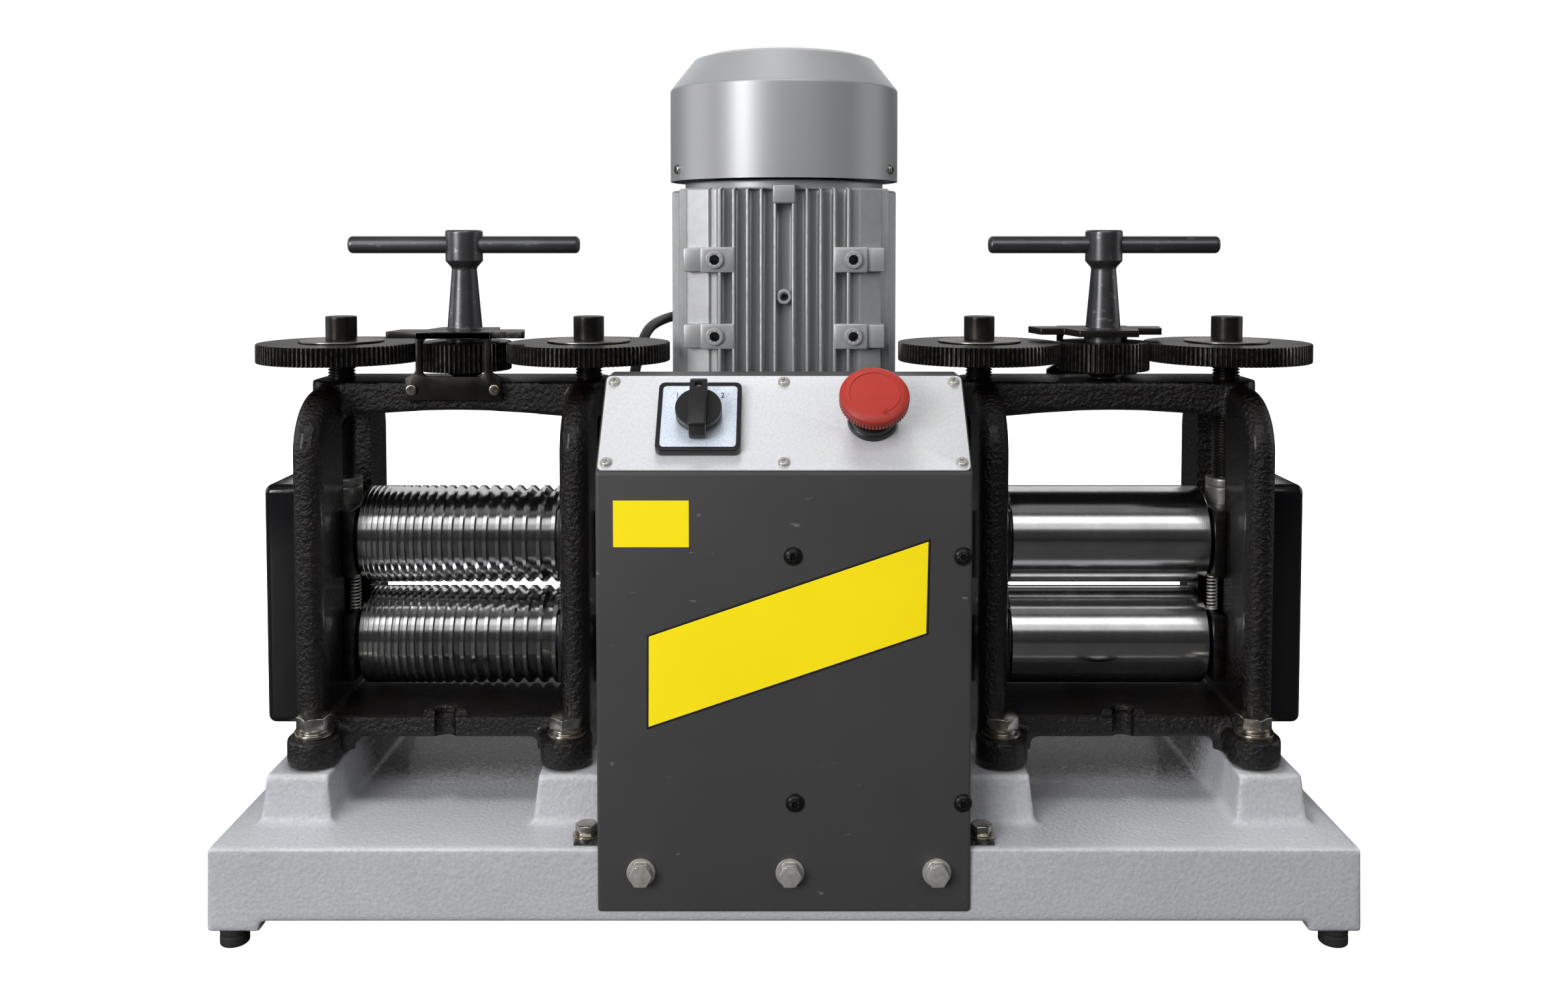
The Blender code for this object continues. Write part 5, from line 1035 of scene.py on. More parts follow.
# Screw-down gears
# Hobbed spur gears with 108 teeth, which mesh with the 60 tooth pinion of the handle so that
# both screws turn alike. The teeth are chamfered at both faces.

TOOTH = 0.0010
GEAR_TEETH, PINION_TEETH = 108, 60
ADDENDUM, DEDENDUM, TOOTH_CHAMFER = 0.88, 1.24, 0.0005


def toothed_rings(teeth, low, high, phase):
    """Rings of a spur gear from its lower to its upper face, the tooth tips chamfered."""
    tip, root = TOOTH * (teeth / 2 + ADDENDUM), TOOTH * (teeth / 2 - DEDENDUM)
    pitch = 2 * math.pi / teeth
    shape = ((root, -0.42), (TOOTH * teeth / 2, -0.245), (tip, -0.11), (tip, 0.11),
             (TOOTH * teeth / 2, 0.245), (root, 0.42))
    rings = []
    for z, limit in ((low, tip - TOOTH_CHAMFER), (low + TOOTH_CHAMFER, tip),
                     (high - TOOTH_CHAMFER, tip), (high, tip - TOOTH_CHAMFER)):
        points = []
        for i in range(teeth):
            for radius, share in shape:
                points.append(polar(min(radius, limit), phase + (i + share) * pitch, z))
        rings.append(points)
    return rings


spindle_gear = loft(toothed_rings(GEAR_TEETH, gear_low, gear_top, math.pi / GEAR_TEETH))
for side, place in heads.items():
    for end, sign, turn in ENDS:
        spot = place @ at(sign * screw_x, 0, 0) @ about(turn, "Z")
        fit(f"{side}_{end}_screw_gear", spindle_gear, oxide, f"{side}_{end}_spindle",
            "black_oxide", f"{side}_{end}_spindle_gear", place=spot, angle=20)


# Steady bracket
# Bent and welded strip, black oxided, that steadies the handle's spindle. Two cross recessed
# screws hold its foot to the bridge.

STRIP_T = 0.0045
FOOT_HALF, FOOT_LOW_DROP, FOOT_H = 0.0315, 0.0116, 0.0142
LEG_OUT, WINDOW_HALF = 0.0245, 0.0205
WING_HALF, WING_FRONT, WING_BACK, NOSE_BACK = 0.046, 0.029, 0.005, 0.018
COLLAR_HOLE_R = 0.0128
bracket_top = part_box("left_bracket")[1][2]


def cross_screw(radius, height):
    """A pan head on z = 0 with a cross recess."""
    head = lathe(eased([(0, height), (radius, height, height * 0.7), (radius, -0.0002),
                        (0, -0.0002)], 0.0002, 5, False), 32)
    long, thin = radius * 0.52, radius * 0.12
    for a, b in ((long, thin), (thin, long)):
        head = cut(head, block((-a, -b, height * 0.45), (a, b, height + 0.001)))
    return head


def bracket():
    front = -(BRIDGE_HALF_Y + FIT + STRIP_T)
    low = bridge_top - FOOT_LOW_DROP
    top = low + FOOT_H
    upright = eased([(-FOOT_HALF, low), (FOOT_HALF, low), (FOOT_HALF, top),
                     (LEG_OUT, top + STRIP_T, 0.003), (LEG_OUT, bracket_top),
                     (-LEG_OUT, bracket_top), (-LEG_OUT, top + STRIP_T, 0.003), (-FOOT_HALF, top)],
                    0.0012, 3)
    window = eased([(-WINDOW_HALF, top + 0.0012), (WINDOW_HALF, top + 0.0012),
                    (WINDOW_HALF, bracket_top - STRIP_T), (-WINDOW_HALF, bracket_top - STRIP_T)],
                   0.004, 5)
    face = cut(plate(upright, front, front + STRIP_T, "xz"),
               plate(window, front - OVER, front + OVER, "xz"))
    wing = [(-WING_HALF, -WING_FRONT), (WING_HALF, -WING_FRONT),
            (WING_HALF - STRIP_T, -WING_BACK), (LEG_OUT, -WING_BACK),
            (LEG_OUT - STRIP_T, NOSE_BACK), (STRIP_T - LEG_OUT, NOSE_BACK),
            (-LEG_OUT, -WING_BACK), (STRIP_T - WING_HALF, -WING_BACK)]
    top_plate = plate(eased(wing, 0.0016, 3), bracket_top - STRIP_T, bracket_top)
    neck = block((-LEG_OUT, front, bracket_top - STRIP_T), (LEG_OUT, -WING_BACK, bracket_top))
    hole = plate(ring(COLLAR_HOLE_R, 48), bracket_top - OVER, bracket_top + OVER)
    top_plate = cut(welded(top_plate, neck), hole)
    return merged(bevelled(face, 0.0005, 2), bevelled(top_plate, 0.0005, 2))


BRACKET_SCREW_X = 0.0272
bracket_mesh = bracket()
bracket_screw = cross_screw(0.0038, 0.0022)
screw_z = bridge_top - FOOT_LOW_DROP + FOOT_H / 2
for side, place in heads.items():
    fit(f"{side}_steady_bracket", bracket_mesh, oxide, "base", "black_oxide", f"{side}_bracket",
        place=place)
    spots = [at(x, -(BRIDGE_HALF_Y + FIT + STRIP_T), screw_z)
             @ about(QUARTER, "X") @ about(0.5 + x * 20, "Z")
             for x in (-BRACKET_SCREW_X, BRACKET_SCREW_X)]
    fit(f"{side}_bracket_screws", repeated(bracket_screw, spots), zinc, "base", "spring_steel",
        place=place)


# Handles
# A turned spindle carries the pinion and a long cone with a cross-drilled hub. The round bar is
# pressed through the hub and makes the T by which the gap between the rolls is set.

PINION_H = 0.019
COLLAR_OUT, PIVOT_R, CONE_R, NECK_TOP_R, HUB_R = 0.0125, 0.007, 0.0116, 0.0082, 0.01235
CONE_STEP, CONE_H, NECK_FLARE, HUB_H = 0.0007, 0.0406, 0.0048, 0.0208
BAR_R, BAR_HALF, BAR_ROUND, BAR_RISE = 0.0058, 0.078, 0.0030, 0.0109
pinion_low = bracket_top - STRIP_T - 0.0040 - PINION_H
cone_foot = bracket_top + CONE_STEP
hub_low = cone_foot + CONE_H + NECK_FLARE
bar_z = hub_low + BAR_RISE


def handle_spindle():
    profile = [(0, hub_low + HUB_H), (HUB_R, hub_low + HUB_H, 0.0016), (HUB_R, hub_low, 0.0012),
               (NECK_TOP_R, hub_low - NECK_FLARE, 0.003), (CONE_R, cone_foot, 0.0006),
               (COLLAR_OUT, cone_foot - 0.0004), (COLLAR_OUT, pinion_low - 0.002),
               (PIVOT_R, bridge_top + FIT), (PIVOT_R, bridge_top - 0.0147),
               (0, bridge_top - 0.0147)]
    body = lathe(eased(profile, 0.0004, 4, False), 64)
    bore = plate(ring(BAR_R, 32, (0, bar_z)), -HUB_R * 2, HUB_R * 2, "yz")
    return cut(body, bore)


bar = lathe(eased([(0, BAR_HALF), (BAR_R, BAR_HALF, BAR_ROUND), (BAR_R, -BAR_HALF, BAR_ROUND),
                   (0, -BAR_HALF)], 0, 6, False), 40)
bar_mesh = moved(bar, about(QUARTER, "Y"), (0, 0, bar_z))
handled_oxide, tree, shader = finish("handled_black_oxide", (0.024, 0.023, 0.023), 0.27, 0.9)
smoky = drifting(tree, (0.09, 0.091, 0.096), (0.20, 0.202, 0.21), 22.0, 0.3)
scuffed = use(tree, LINES, Stretch=(0.5, 1.0, 1.0), Scale=260.0, Start=0.62, End=0.7)
bright = use(tree, WEAR, Start=0.52, End=0.60, Scale=150.0)
scratched = mixed(tree, between(tree, scuffed["Mask"], 0.0, 0.6), smoky["Color"],
                  (0.36, 0.36, 0.36, 1))
covered(shader, bright["Mask"], scratched, (0.42, 0.41, 0.40, 1))
polished(shader, smoky["Mask"], 0.30, 0.40)
grained(shader, 600.0, 0.3, 0.00006, 0.3)
spindle_mesh = handle_spindle()
pinion_mesh = loft(toothed_rings(PINION_TEETH, pinion_low, pinion_low + PINION_H, 0))
for side, place in heads.items():
    fit(f"{side}_cone_spindle", spindle_mesh, handled_oxide, f"{side}_handle", "black_oxide",
        f"{side}_handle_spindle", place=place, angle=25)
    fit(f"{side}_pinion", pinion_mesh, oxide, f"{side}_handle", "black_oxide", place=place,
        angle=20)
    fit(f"{side}_tee_bar", bar_mesh, handled_oxide, f"{side}_handle", "black_oxide",
        f"{side}_handle_bar", place=place)


# Gearbox
# A worm gearbox in cast aluminium stands on the base behind the front cover, with the motor
# bolted on top. Its output shaft goes through to both heads.

AXIS_Y = 0.0630
BOX_HALF_X, DRUM_R, HUB_OUT_R, HUB_X = 0.050, 0.060, 0.034, 0.060
CASE_HALF_X, CASE_HALF_Y, CASE_LOW, CASE_DROP = 0.042, 0.040, 0.090, 0.006
FOOT_FRONT, FOOT_BACK, BOX_FOOT_T = -0.056, 0.108, 0.012
STAY_X, STAY_HALF_T, STAY_FRONT, STAY_BACK = 0.045, 0.003, -0.05, 0.09
BOX_SKIN, TOP_FLANGE_R, TOP_FLANGE_T, TOP_FLANGE_BORE_R = 0.0022, 0.064, 0.0095, 0.0095
FOOT_BOLT_X, FOOT_BOLT_Y, FLANGE_BOLT_R = 0.04472, (-0.050, 0.102), 0.054
PLUG_Z = (0.205, 0.115)
box_floor, flange_top = (corner.z for corner in corners("gearbox_housing"))
motor_y = head_y + AXIS_Y


def gearbox():
    drum = plate(ring(DRUM_R, 64, (0, lower_z)), -BOX_HALF_X, BOX_HALF_X, "yz")
    hubs = plate(ring(HUB_OUT_R, 64, (0, lower_z)), -HUB_X, HUB_X, "yz")
    case = block((-CASE_HALF_X, 0, CASE_LOW),
                 (CASE_HALF_X, AXIS_Y + CASE_HALF_Y, flange_top - CASE_DROP))
    web = block((-CASE_HALF_X, -HUB_OUT_R, box_floor),
                (CASE_HALF_X, AXIS_Y + HUB_OUT_R, lower_z))
    foot = block((-BOX_HALF_X, FOOT_FRONT, box_floor),
                 (BOX_HALF_X, FOOT_BACK, box_floor + BOX_FOOT_T))
    stays = [block((x - STAY_HALF_T, STAY_FRONT, box_floor + BOX_FOOT_T / 2),
                   (x + STAY_HALF_T, STAY_BACK, lower_z)) for x in (-STAY_X, STAY_X)]
    return cast(welded(drum, hubs, case, web, foot, *stays), BOX_SKIN, 6)


cast_aluminium, tree, shader = finish("cast_aluminium", (0.40, 0.41, 0.43), 0.45, 0.85)
clouded(shader, (0.28, 0.29, 0.30), (0.50, 0.51, 0.53), 35.0, 0.25)
grained(shader, 420.0, 0.6, 0.0006, 0.6)
fit("gearbox_casting", gearbox(), cast_aluminium, "base", "gearbox_metal", "gearbox_housing",
    place=at(0, head_y, 0), angle=180)
flange_low = flange_top - TOP_FLANGE_T
flange_profile = [(TOP_FLANGE_BORE_R, flange_top), (TOP_FLANGE_R, flange_top),
                  (TOP_FLANGE_R, flange_low), (TOP_FLANGE_BORE_R, flange_low)]
fit("gearbox_flange", moved(lathe(eased(flange_profile, 0.001, 2), 64, True), (0, motor_y, 0)),
    cast_aluminium, "base", "gearbox_metal")

hub_face = [(0.0145, 0.004), (0.031, 0.004), (0.031, -0.001), (0.0145, -0.001)]
seal_ring = lathe(eased(hub_face, 0.0008, 2), 48, True)
box_plug = merged(washer(0.0075, 0.0012), moved(hexagon_head(0.012, 0.005), (0, 0, 0.001)))
small_bolt = merged(washer(0.0065, 0.0012), moved(hexagon_head(0.010, 0.0052), (0, 0, 0.001)))
box_bolts = [at(x, head_y + y, box_floor + BOX_FOOT_T) for x in (-FOOT_BOLT_X, FOOT_BOLT_X)
             for y in FOOT_BOLT_Y]
box_bolts += [at(0, motor_y, 0) @ at(*polar(FLANGE_BOLT_R, math.radians(45 + 90 * i), flange_low))
              @ about(math.pi, "X") for i in range(4)]
fit("gearbox_bolts", repeated(small_bolt, box_bolts), zinc, "base", "spring_steel")
back_y = head_y + AXIS_Y + CASE_HALF_Y
plugs = [at(0, back_y, z) @ about(-QUARTER, "X") for z in PLUG_Z]
fit("oil_plugs", repeated(box_plug, plugs), zinc, "base", "spring_steel")


# Output shaft
# A ground shaft runs through the box from side to side, and a keyed sleeve at each end joins it
# to the neck of the lower roll.

SHAFT_R, SLEEVE_R, SLEEVE_HALF = 0.014, 0.024, 0.019
shaft_steel, tree, shader = finish("ground_shaft_steel", (0.42, 0.42, 0.43), 0.25, 1.0)
rings_cut = use(tree, LINES, Stretch=(1.0, 0.03, 0.03), Scale=1500.0, Start=0.4, End=0.7)
clouded(shader, (0.30, 0.29, 0.28), (0.50, 0.50, 0.51), 60.0, 0.25)
polished(shader, rings_cut["Value"], 0.16, 0.34)
low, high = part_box("drive_shaft")
half = (high[0] - low[0]) / 2
lay_along_x = at(0, head_y, lower_z) @ about(QUARTER, "Y")
shaft = lathe(eased([(0, half), (SHAFT_R, half), (SHAFT_R, -half), (0, -half)], 0.0008, 2,
                    False), 48)
fit("output_shaft", moved(shaft, lay_along_x), shaft_steel, "drive_train", "shaft_steel",
    "drive_shaft")
sleeve_profile = [(SHAFT_R + FIT, SLEEVE_HALF), (SLEEVE_R, SLEEVE_HALF), (SLEEVE_R, -SLEEVE_HALF),
                  (SHAFT_R + FIT, -SLEEVE_HALF)]
sleeve = lathe(eased(sleeve_profile, 0.0010, 2), 64, True)
for side, sign in SIDES:
    fit(f"{side}_keyed_sleeve", moved(sleeve, lay_along_x, (sign * shaft_end_x, 0, 0)),
        shaft_steel, "drive_train", "shaft_steel", f"{side}_coupling")
    spot = at(sign * HUB_X, head_y, lower_z) @ about(sign * QUARTER, "Y")
    fit(f"{side}_shaft_seal", moved(seal_ring, spot), black_rubber, "base", "foot_rubber")


# Motor
# An aluminium finned motor stands on the gearbox flange. Four bosses between the fins carry the
# threaded holes for a clip-on foot, and the whole body is sprayed silver grey.

motor_low, motor_high = corners("motor_housing")
BODY_HALF_X, BODY_HALF_Y = 0.080, 0.0775
FIN_DEPTH, FIN_T, FIN_PITCH, CHANNEL = 0.013, 0.0019, 0.0092, 0.0122
FRONT_FINS, SIDE_FINS = 5, 3
FLAT_STEP, FLAT_Y = 0.0065, 0.0162
CORNER_RIDGES = ((0.0452, 0.0700, 0.0008), (0.0496, 0.0690, 0.0008), (0.0504, 0.0712, 0.0005),
                 (0.0655, 0.0648, 0.0005), (0.0662, 0.0618, 0.0006), (0.0715, 0.0570, 0.0020))
FLANGE_R, FLANGE_T, SHIELD_R, SHIELD_H = 0.064, 0.012, 0.0700, 0.012
BOSS_X, BOSS_REACH, BOSS_HOLE_R, BOSS_HOLE_DEPTH = 0.0463, 0.0020, 0.0034, 0.022
BOSS_SPAN, BOSS_HALF_Z, BOSS_STEP = (-0.0130, 0.0095), 0.0085, 0.0012
TONGUE_SPAN, TONGUE_HALF_Z, TONGUE_STEP = (0.009, 0.0210), 0.0080, 0.0042
body_top = motor_high.z - SHIELD_H + 0.0036
boss_heights = (0.3563, 0.4075)


def fin_row(places, level, into):
    """Outline of one side's fins from left to right, as (along, out) points."""
    points = []
    for i, place in enumerate(places):
        if i:
            points.append((place - FIN_T / 2, level - into, 0.001))
        points += [(place - FIN_T / 2, level, 0.0008), (place + FIN_T / 2, level, 0.0008)]
        if i < len(places) - 1:
            points.append((place + FIN_T / 2, level - into, 0.001))
    return points


def motor_outline():
    """Plan of the body, round from the front left corner, seen from above."""
    front = [CHANNEL / 2 + FIN_PITCH * i for i in range(FRONT_FINS)]
    front = [-x for x in reversed(front)] + front
    side = [FIN_PITCH * (i - (SIDE_FINS - 1) / 2) for i in range(SIDE_FINS)]
    flat = BODY_HALF_X - FLAT_STEP
    corner = [(x, -y, r) for x, y, r in CORNER_RIDGES]
    corner += [(flat, -FLAT_Y - FIN_PITCH, 0.004), (flat, -FLAT_Y, 0.003)]
    outline = [(x, -y, r) for x, y, r in fin_row(front, BODY_HALF_Y, FIN_DEPTH)]
    outline += corner
    outline += [(y, x, r) for x, y, r in fin_row(side, BODY_HALF_X, FIN_DEPTH)]
    outline += [(x, -y, r) for x, y, r in reversed(corner)]
    outline += [(-x, y, r) for x, y, r in fin_row(front, BODY_HALF_Y, FIN_DEPTH)]
    outline += [(-x, -y, r) for x, y, r in corner]
    outline += [(-y, -x, r) for x, y, r in fin_row(side, BODY_HALF_X, FIN_DEPTH)]
    outline += [(-x, y, r) for x, y, r in reversed(corner)]
    return eased(outline, 0.001, 2)


def motor_boss(sign):
    """One boss for the clip-on foot: a block with a raised ring, and a stepped outer tongue."""
    front, back = -BODY_HALF_Y - BOSS_REACH, -BODY_HALF_Y + FIN_DEPTH
    steps = []
    for span, half_z, step in ((BOSS_SPAN, BOSS_HALF_Z, BOSS_STEP),
                               (TONGUE_SPAN, TONGUE_HALF_Z, TONGUE_STEP)):
        near, far = sorted(sign * x for x in span)
        steps.append(bevelled(block((near, front + step, -half_z), (far, back, half_z)), 0.0010))
    profile = eased([(0, 0.0026), (0.0058, 0.0026), (0.0066, -0.004), (0, -0.004)], 0.0003, 2,
                    False)
    collar = moved(lathe(profile, 40), about(QUARTER, "X"), (0, front + BOSS_STEP, 0))
    hole = plate(ring(BOSS_HOLE_R, 32), front - OVER, back + OVER, "xz")
    return cut(welded(*steps, collar), hole)


def motor_body():
    rings = []
    outline = motor_outline()
    low, high = motor_low.z + FLANGE_T, body_top
    for z, inset in ((low, 0.0012), (low + 0.0012, 0), (high - 0.0012, 0), (high, 0.0012)):
        rings.append([(x - math.copysign(inset, x), y - math.copysign(inset, y), z)
                      for x, y in outline])
    drilled = [plate(ring(BOSS_HOLE_R, 24, (x, z)), -BODY_HALF_Y - OVER,
                     BOSS_HOLE_DEPTH - BODY_HALF_Y, "xz")
               for z in boss_heights for x in (-BOSS_X, BOSS_X)]
    parts = [cut(loft(rings), *drilled)]
    low_flange = [(0, low + 0.001), (FLANGE_R, low + 0.001), (FLANGE_R, motor_low.z),
                  (0, motor_low.z)]
    parts.append(lathe(eased(low_flange, 0.0012, 3, False), 72))
    shield = [(0, motor_high.z), (0.05, motor_high.z), (SHIELD_R + 0.001, motor_high.z - 0.003),
              (SHIELD_R + 0.001, body_top - 0.001), (0, body_top - 0.001)]
    parts.append(lathe(eased(shield, 0.0012, 3, False), 72))
    parts += [moved(motor_boss(sign), (sign * BOSS_X, 0, z))
              for z in boss_heights for sign in (-1, 1)]
    key = block((-0.0076, -BODY_HALF_Y - 0.0012, body_top - 0.0105),
                (0.0076, -BODY_HALF_Y + FIN_DEPTH, body_top + 0.0022))
    parts.append(bevelled(key, 0.0012, 3))
    return merged(*parts)


silver_paint, tree, shader = finish("silver_motor_paint", (0.44, 0.455, 0.47), 0.40, 0.55)
shade = drifting(tree, (0.42, 0.435, 0.45), (0.47, 0.485, 0.50), 10.0, 0.4)
rubbed = use(tree, WEAR, Start=0.56, End=0.66, Scale=160.0)
covered(shader, rubbed["Mask"], shade["Color"], (0.90, 0.91, 0.92, 1))
grained(shader, 520.0, 0.3, 0.00006, 0.5)
fit("finned_motor_body", motor_body(), silver_paint, "base", "motor_paint", "motor_housing",
    place=at(0, motor_y, 0), angle=30)

EARTH_SCREW_Z, EARTH_SCREW_R = 0.3828, 0.0026
socket_screw = cut(lathe(eased([(0, 0.0028), (EARTH_SCREW_R, 0.0028), (EARTH_SCREW_R, 0),
                                (0, 0)], 0.0004, 2, False), 32),
                   plate(ring(0.0013, 6), 0.001, 0.004))
screw_ring = lathe(eased([(0.0027, 0.0020), (0.0050, 0.0020), (0.0052, -0.012), (0.0027, -0.012)],
                         0.0004, 2), 32, True)
to_front = at(0, motor_y - BODY_HALF_Y + 0.004, EARTH_SCREW_Z) @ about(QUARTER, "X")
fit("earth_screw", moved(socket_screw, to_front), black_screw, "base", "cover_grey")
fit("earth_screw_boss", moved(screw_ring, to_front), silver_paint, "base", "motor_paint")


# Fan and cowl
# A plastic fan on the motor's upper shaft end draws air through the slots of a pressed steel
# cowl, which is held by four screws in its skirt.

cowl_high = Vector(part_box("motor_cowl")[1])
skirt_z = motor_high.z - 0.0018
COWL_R, COWL_T, COWL_TOP_R = 0.0815, 0.0020, 0.0622
CROWN_H, SHOULDER_H = 0.0026, 0.0218
SLOT_IN, SLOT_OUT, SLOT_HALF = 0.020, 0.048, 0.0030
SLOTS = 6


def motor_cowl():
    rim = cowl_high.z - CROWN_H
    shoulder = rim - SHOULDER_H
    outer = [(COWL_R, skirt_z), (COWL_R, skirt_z + EDGE_BAND, 0), (COWL_R, shoulder, 0.003),
             (COWL_TOP_R + 0.002, rim, 0.003), (COWL_TOP_R * 0.90, cowl_high.z, 0.003),
             (0, cowl_high.z, 0)]
    inner = [(0, cowl_high.z - COWL_T, 0), (COWL_TOP_R * 0.85, cowl_high.z - COWL_T, 0.004),
             (COWL_TOP_R, rim - COWL_T, 0.004), (COWL_R - COWL_T, shoulder - 0.001, 0.003),
             (COWL_R - COWL_T, skirt_z, 0.0006)]
    profile = eased(outer, 0, 5, False) + eased(inner, 0, 5, False)
    slot = eased([(SLOT_IN, -SLOT_HALF), (SLOT_OUT, -SLOT_HALF), (SLOT_OUT, SLOT_HALF),
                  (SLOT_IN, SLOT_HALF)], SLOT_HALF * 0.95, 5)
    punch = plate(slot, rim - OVER, cowl_high.z + OVER)
    return cut(lathe(profile, 96, True), *[moved(punch, about(math.pi * (i + 0.5) / SLOTS, "Z"))
                                           for i in range(SLOTS * 2)])


fit("fan_cowl", motor_cowl(), silver_paint, "base", "motor_paint", "motor_cowl",
    place=at(0, motor_y, 0), angle=30)
COWL_SCREW_ANGLES, COWL_SCREW_RISE = (25.5, 154.5, 205.5, -25.5), 0.0076
cowl_screw = cross_screw(0.0035, 0.0022)
spots = [at(0, motor_y, skirt_z + COWL_SCREW_RISE) @ about(math.radians(angle), "Z")
         @ at(COWL_R - 0.0001, 0, 0) @ about(QUARTER, "Y") for angle in COWL_SCREW_ANGLES]
fit("cowl_screws", repeated(cowl_screw, spots), zinc, "base", "spring_steel")

fan_plastic, tree, shader = finish("black_fan_plastic", (0.03, 0.03, 0.032), 0.45)
grained(shader, 600.0, 0.4, 0.0002, 0.4)
dress("motor_rotor", fan_plastic)


# Terminal box
# A pressed connection box on the motor's back, with a lid on four screws and a cable gland in
# its left side.

box_low, box_high = corners("terminal_box")
BOX_HALF, LID_T, LID_SCREW = 0.046, 0.014, 0.038
GLAND_DROP, GLAND_BACK = 0.026, 0.0185
box_z = (box_low.z + box_high.z) / 2
gland_y = motor_y + BODY_HALF_Y + GLAND_BACK
lid_y = box_high.y - LID_T
case = bevelled(block((-BOX_HALF + 0.0008, box_low.y, box_low.z + 0.0008),
                      (BOX_HALF - 0.0008, lid_y - 0.0004, box_high.z - 0.0008)), 0.0024, 3)
lid = bevelled(block((-BOX_HALF, lid_y + 0.0004, box_low.z), (BOX_HALF, box_high.y, box_high.z)),
               0.0035, 4)
seal = block((-BOX_HALF + 0.0016, lid_y - 0.001, box_low.z + 0.0016),
             (BOX_HALF - 0.0016, lid_y + 0.001, box_high.z - 0.0016))
fit("connection_box", merged(case, lid), silver_paint, "base", "motor_paint", "terminal_box")
fit("connection_box_seal", seal, black_rubber, "base", "foot_rubber")
lid_screw = cross_screw(0.0030, 0.0016)
lid_spots = [at(x, box_high.y - 0.0016, box_z + z) @ about(-QUARTER, "X")
             for x in (-LID_SCREW, LID_SCREW) for z in (-LID_SCREW, LID_SCREW)]
fit("connection_box_screws", repeated(lid_screw, lid_spots), zinc, "base", "spring_steel")

moulded_black, tree, shader = finish("moulded_black_plastic", (0.014, 0.014, 0.015), 0.34)
grained(shader, 1300.0, 0.5, 0.0001, 0.45)
gland_profile = [(0.0042, 0.0140), (0.0062, 0.0140), (0.0078, 0.0112), (0.0078, 0.0050),
                 (0.0085, 0.0046), (0.0085, -0.001), (0.0042, -0.001)]
gland_nut = cut(plate(ring(0.0088, 6), 0.0050, 0.0108), plate(ring(0.0042, 32), 0, 0.02))
gland = merged(lathe(eased(gland_profile, 0.0005, 2), 40, True), bevelled(gland_nut, 0.0005, 1))
to_left = at(-BOX_HALF, gland_y, box_z - GLAND_DROP) @ about(-QUARTER, "Y")
fit("cable_gland", moved(gland, to_left), moulded_black, "base", "black_plastic")


# Motor cable
# A round black lead of five cores goes from the gland round the motor's left side and down
# behind the panel to the switch. Its points are those of its solid.

CABLE_D, CABLE_STEP, CABLE_LENGTH = 0.0076, 0.0152, 0.311
CABLE_ROUTE = ((-0.0603, 0.1375, 0.3640), (-0.0679, 0.1375, 0.3640), (-0.0896, 0.1165, 0.3604),
               (-0.1008, 0.0787, 0.3549), (-0.1048, 0.0522, 0.3429), (-0.1080, 0.0384, 0.3251),
               (-0.1064, 0.0207, 0.3050), (-0.0960, -0.0114, 0.2839), (-0.0760, -0.0517, 0.2661),
               (-0.0504, -0.0939, 0.2742), (-0.0504, -0.1049, 0.2847))


def smooth_route(points, step):
    """Points every step along a Catmull-Rom curve through the route."""
    points = [Vector(point) for point in points]
    ends = [points[0]] + points + [points[-1]]
    route = []
    for a, b, c, d in zip(ends, ends[1:], ends[2:], ends[3:]):
        count = max(1, round((c - b).length / step))
        for i in range(count):
            t = i / count
            route.append(0.5 * (2 * b + (c - a) * t + (2 * a - 5 * b + 4 * c - d) * t ** 2
                                + (3 * b - a - 3 * c + d) * t ** 3))
    route.append(points[-1])
    return route


cable_sheath, tree, shader = finish("black_cable_sheath", (0.013, 0.013, 0.014), 0.42)
grained(shader, 500.0, 0.3, 0.0002, 0.3)
lead = bpy.data.curves.new("lead", "CURVE")
lead.dimensions = "3D"
lead.bevel_depth = CABLE_D / 2
lead.bevel_resolution = 6
lead.resolution_u = 6
lead.use_fill_caps = True
route = smooth_route(CABLE_ROUTE, CABLE_STEP)
line = lead.splines.new("BEZIER")
line.bezier_points.add(len(route) - 1)
for point, place in zip(line.bezier_points, route):
    point.co = place
    point.handle_left_type = point.handle_right_type = "AUTO"
cable = piece_of("motor_lead", lead, cable_sheath)
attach(cable, "base")
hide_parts("motor_cable")


# Front cover
# Folded steel sheet in satin dark grey, open at the back, which stands on the base in front of
# the gearbox. Its upper face slopes back to carry the controls.

cover_low, cover_high = corners("front_cover")
SHEET_HALF_X, SHEET_T, SHEET_BEND = 0.10985, 0.0015, 0.0022
SLANT_Y, SLANT_Z = 0.0490, 0.0511
TAB_REACH, TAB_HALF, TAB_IN = 0.015, 0.011, 0.0175
bend_z = cover_high.z - SLANT_Z
cover_front = cover_low.y


